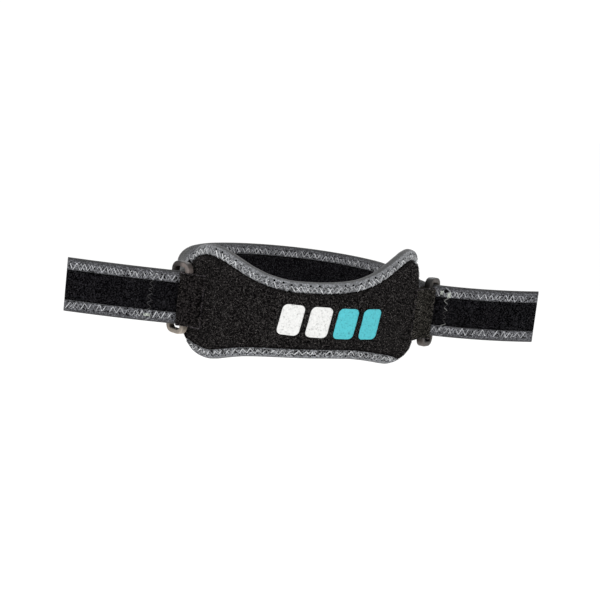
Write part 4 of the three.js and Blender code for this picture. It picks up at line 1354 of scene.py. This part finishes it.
# ----------------------------------------------------------------------- print
def print_bars():
    """slanted rounded bars printed on the pad's face, in two colours"""
    out = []
    face_r = HOLLOW_R + 6.9
    for name, bars, mat in (("print_white", BARS[:2], M_WHITE), ("print_turquoise", BARS[2:], M_TURQ)):
        body = Body()
        for u0, w in bars:
            z0, z1, slant, rc = BAR_Z0, BAR_Z1, BAR_SLANT, BAR_CORNER
            hgt = z1 - z0
            rows, rings = 30, []
            for i in range(rows + 1):
                z = z0 + hgt * (0.5 - 0.5 * math.cos(math.pi * i / rows))
                e = min(z - z0, z1 - z)
                cut = rc - math.sqrt(max(0.0, rc * rc - (rc - min(rc, e)) ** 2))
                a = u0 + cut + slant * (z - z0)
                b = u0 + w - cut + slant * (z - z0)
                cols = 22
                row = []
                for j in range(cols + 1):
                    u = a + (b - a) * j / cols
                    az = deg(u / face_r)
                    h = pad_surface(az, z)
                    p = on_hollow(az, HOLLOW_R + h, z)
                    row.append(p + out_of(az) * (pad_relief(p) + 0.10))
                rings.append(row)
            m = len(rings[0])
            # a thin closed skin: face, and the same points just under it
            face_pts = [p for r in rings for p in r]
            under = [p - Vector((p.x, p.y, 0)).normalized() * 0.22 for p in face_pts]
            nv = len(face_pts)
            faces = []
            for i in range(len(rings) - 1):
                for j in range(m - 1):
                    q = (i * m + j, i * m + j + 1, (i + 1) * m + j + 1, (i + 1) * m + j)
                    faces.append(q)
                    faces.append(tuple(x + nv for x in q[::-1]))
            rim = [j for j in range(m)] + [(i + 1) * m - 1 for i in range(1, len(rings))] + [(len(rings) - 1) * m + j for j in range(m - 2, -1, -1)] + [i * m for i in range(len(rings) - 2, 0, -1)]
            for x, y in zip(rim, rim[1:] + rim[:1]):
                faces.append((x, x + nv, y + nv, y))
            body.add(face_pts + under, faces, 0)
        ob = body.object(name, [mat])
        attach(ob, "root")
        out.append(ob)
    return out


# ------------------------------------------------------------- camera and room
def make_camera():
    e, roll, dist = rad(9.0), rad(6.5), 0.650
    fwd = Vector((0, math.cos(e), -math.sin(e)))
    side, lift = Vector((1, 0, 0)), Vector((0, math.sin(e), math.cos(e)))
    right = side * math.cos(roll) + lift * math.sin(roll)
    up = side * -math.sin(roll) + lift * math.cos(roll)
    cam = bpy.data.cameras.new("camera")
    cam.lens, cam.sensor_width, cam.sensor_fit = 78.0, 36.0, "HORIZONTAL"
    cam.shift_x, cam.shift_y = 0.01367, 0.005
    cam.clip_start, cam.clip_end = 0.01, 50
    ob = bpy.data.objects.new("camera", cam)
    rot = Matrix((right, up, -fwd)).transposed().to_4x4()
    ob.matrix_world = Matrix.Translation(fwd * -dist) @ rot
    scene.collection.objects.link(ob)
    scene.camera = ob


def area(name, loc, target, size, watts, colour=(1, 1, 1)):
    li = bpy.data.lights.new(name, "AREA")
    li.shape, li.size, li.energy, li.color = "DISK", size, watts, colour
    ob = bpy.data.objects.new(name, li)
    ob.location = loc
    ob.rotation_euler = (Vector(target) - Vector(loc)).to_track_quat("-Z", "Y").to_euler()
    scene.collection.objects.link(ob)


def room():
    mat, nt, bsdf = new_material("room_paint")
    bsdf.inputs["Base Color"].default_value = (0.96, 0.96, 0.96, 1)
    bsdf.inputs["Roughness"].default_value = 0.9
    bsdf.inputs["Specular IOR Level"].default_value = 0.0
    me = bpy.data.meshes.new("floor")
    s, z = 60.0, -0.30
    me.from_pydata([(-s, -s, z), (s, -s, z), (s, s, z), (-s, s, z)], [], [(0, 1, 2, 3)])
    me.materials.append(mat)
    floor = bpy.data.objects.new("floor", me)
    scene.collection.objects.link(floor)
    world = bpy.data.worlds.new("world")
    scene.world = world
    world.use_nodes = True
    bg = world.node_tree.nodes["Background"]
    bg.inputs[0].default_value = (1, 1, 1, 1)
    bg.inputs[1].default_value = 1.06
    area("key", (-0.55, -0.85, 0.85), (0, 0, 0), 0.55, 7)
    area("fill", (0.9, -0.8, 0.35), (0, 0, 0), 0.8, 3)
    area("rim", (0.2, 0.8, 0.8), (0, 0, 0), 0.7, 3)
    scene.view_settings.view_transform = "Standard"
    scene.view_settings.look = "None"


make_camera()
room()
pad_piece()
pad_binding("top")
pad_binding("bottom")
for side_name in ("left", "right"):
    loop_piece(side_name)
    tab_piece(side_name)
    hook_piece(side_name)
band = strap_core()
tape_up = strap_tape("strap_tape_upper", 1)
tape_low = strap_tape("strap_tape_lower", -1)
seams = cross_seams()
snarl = loose_knot()
print_bars()
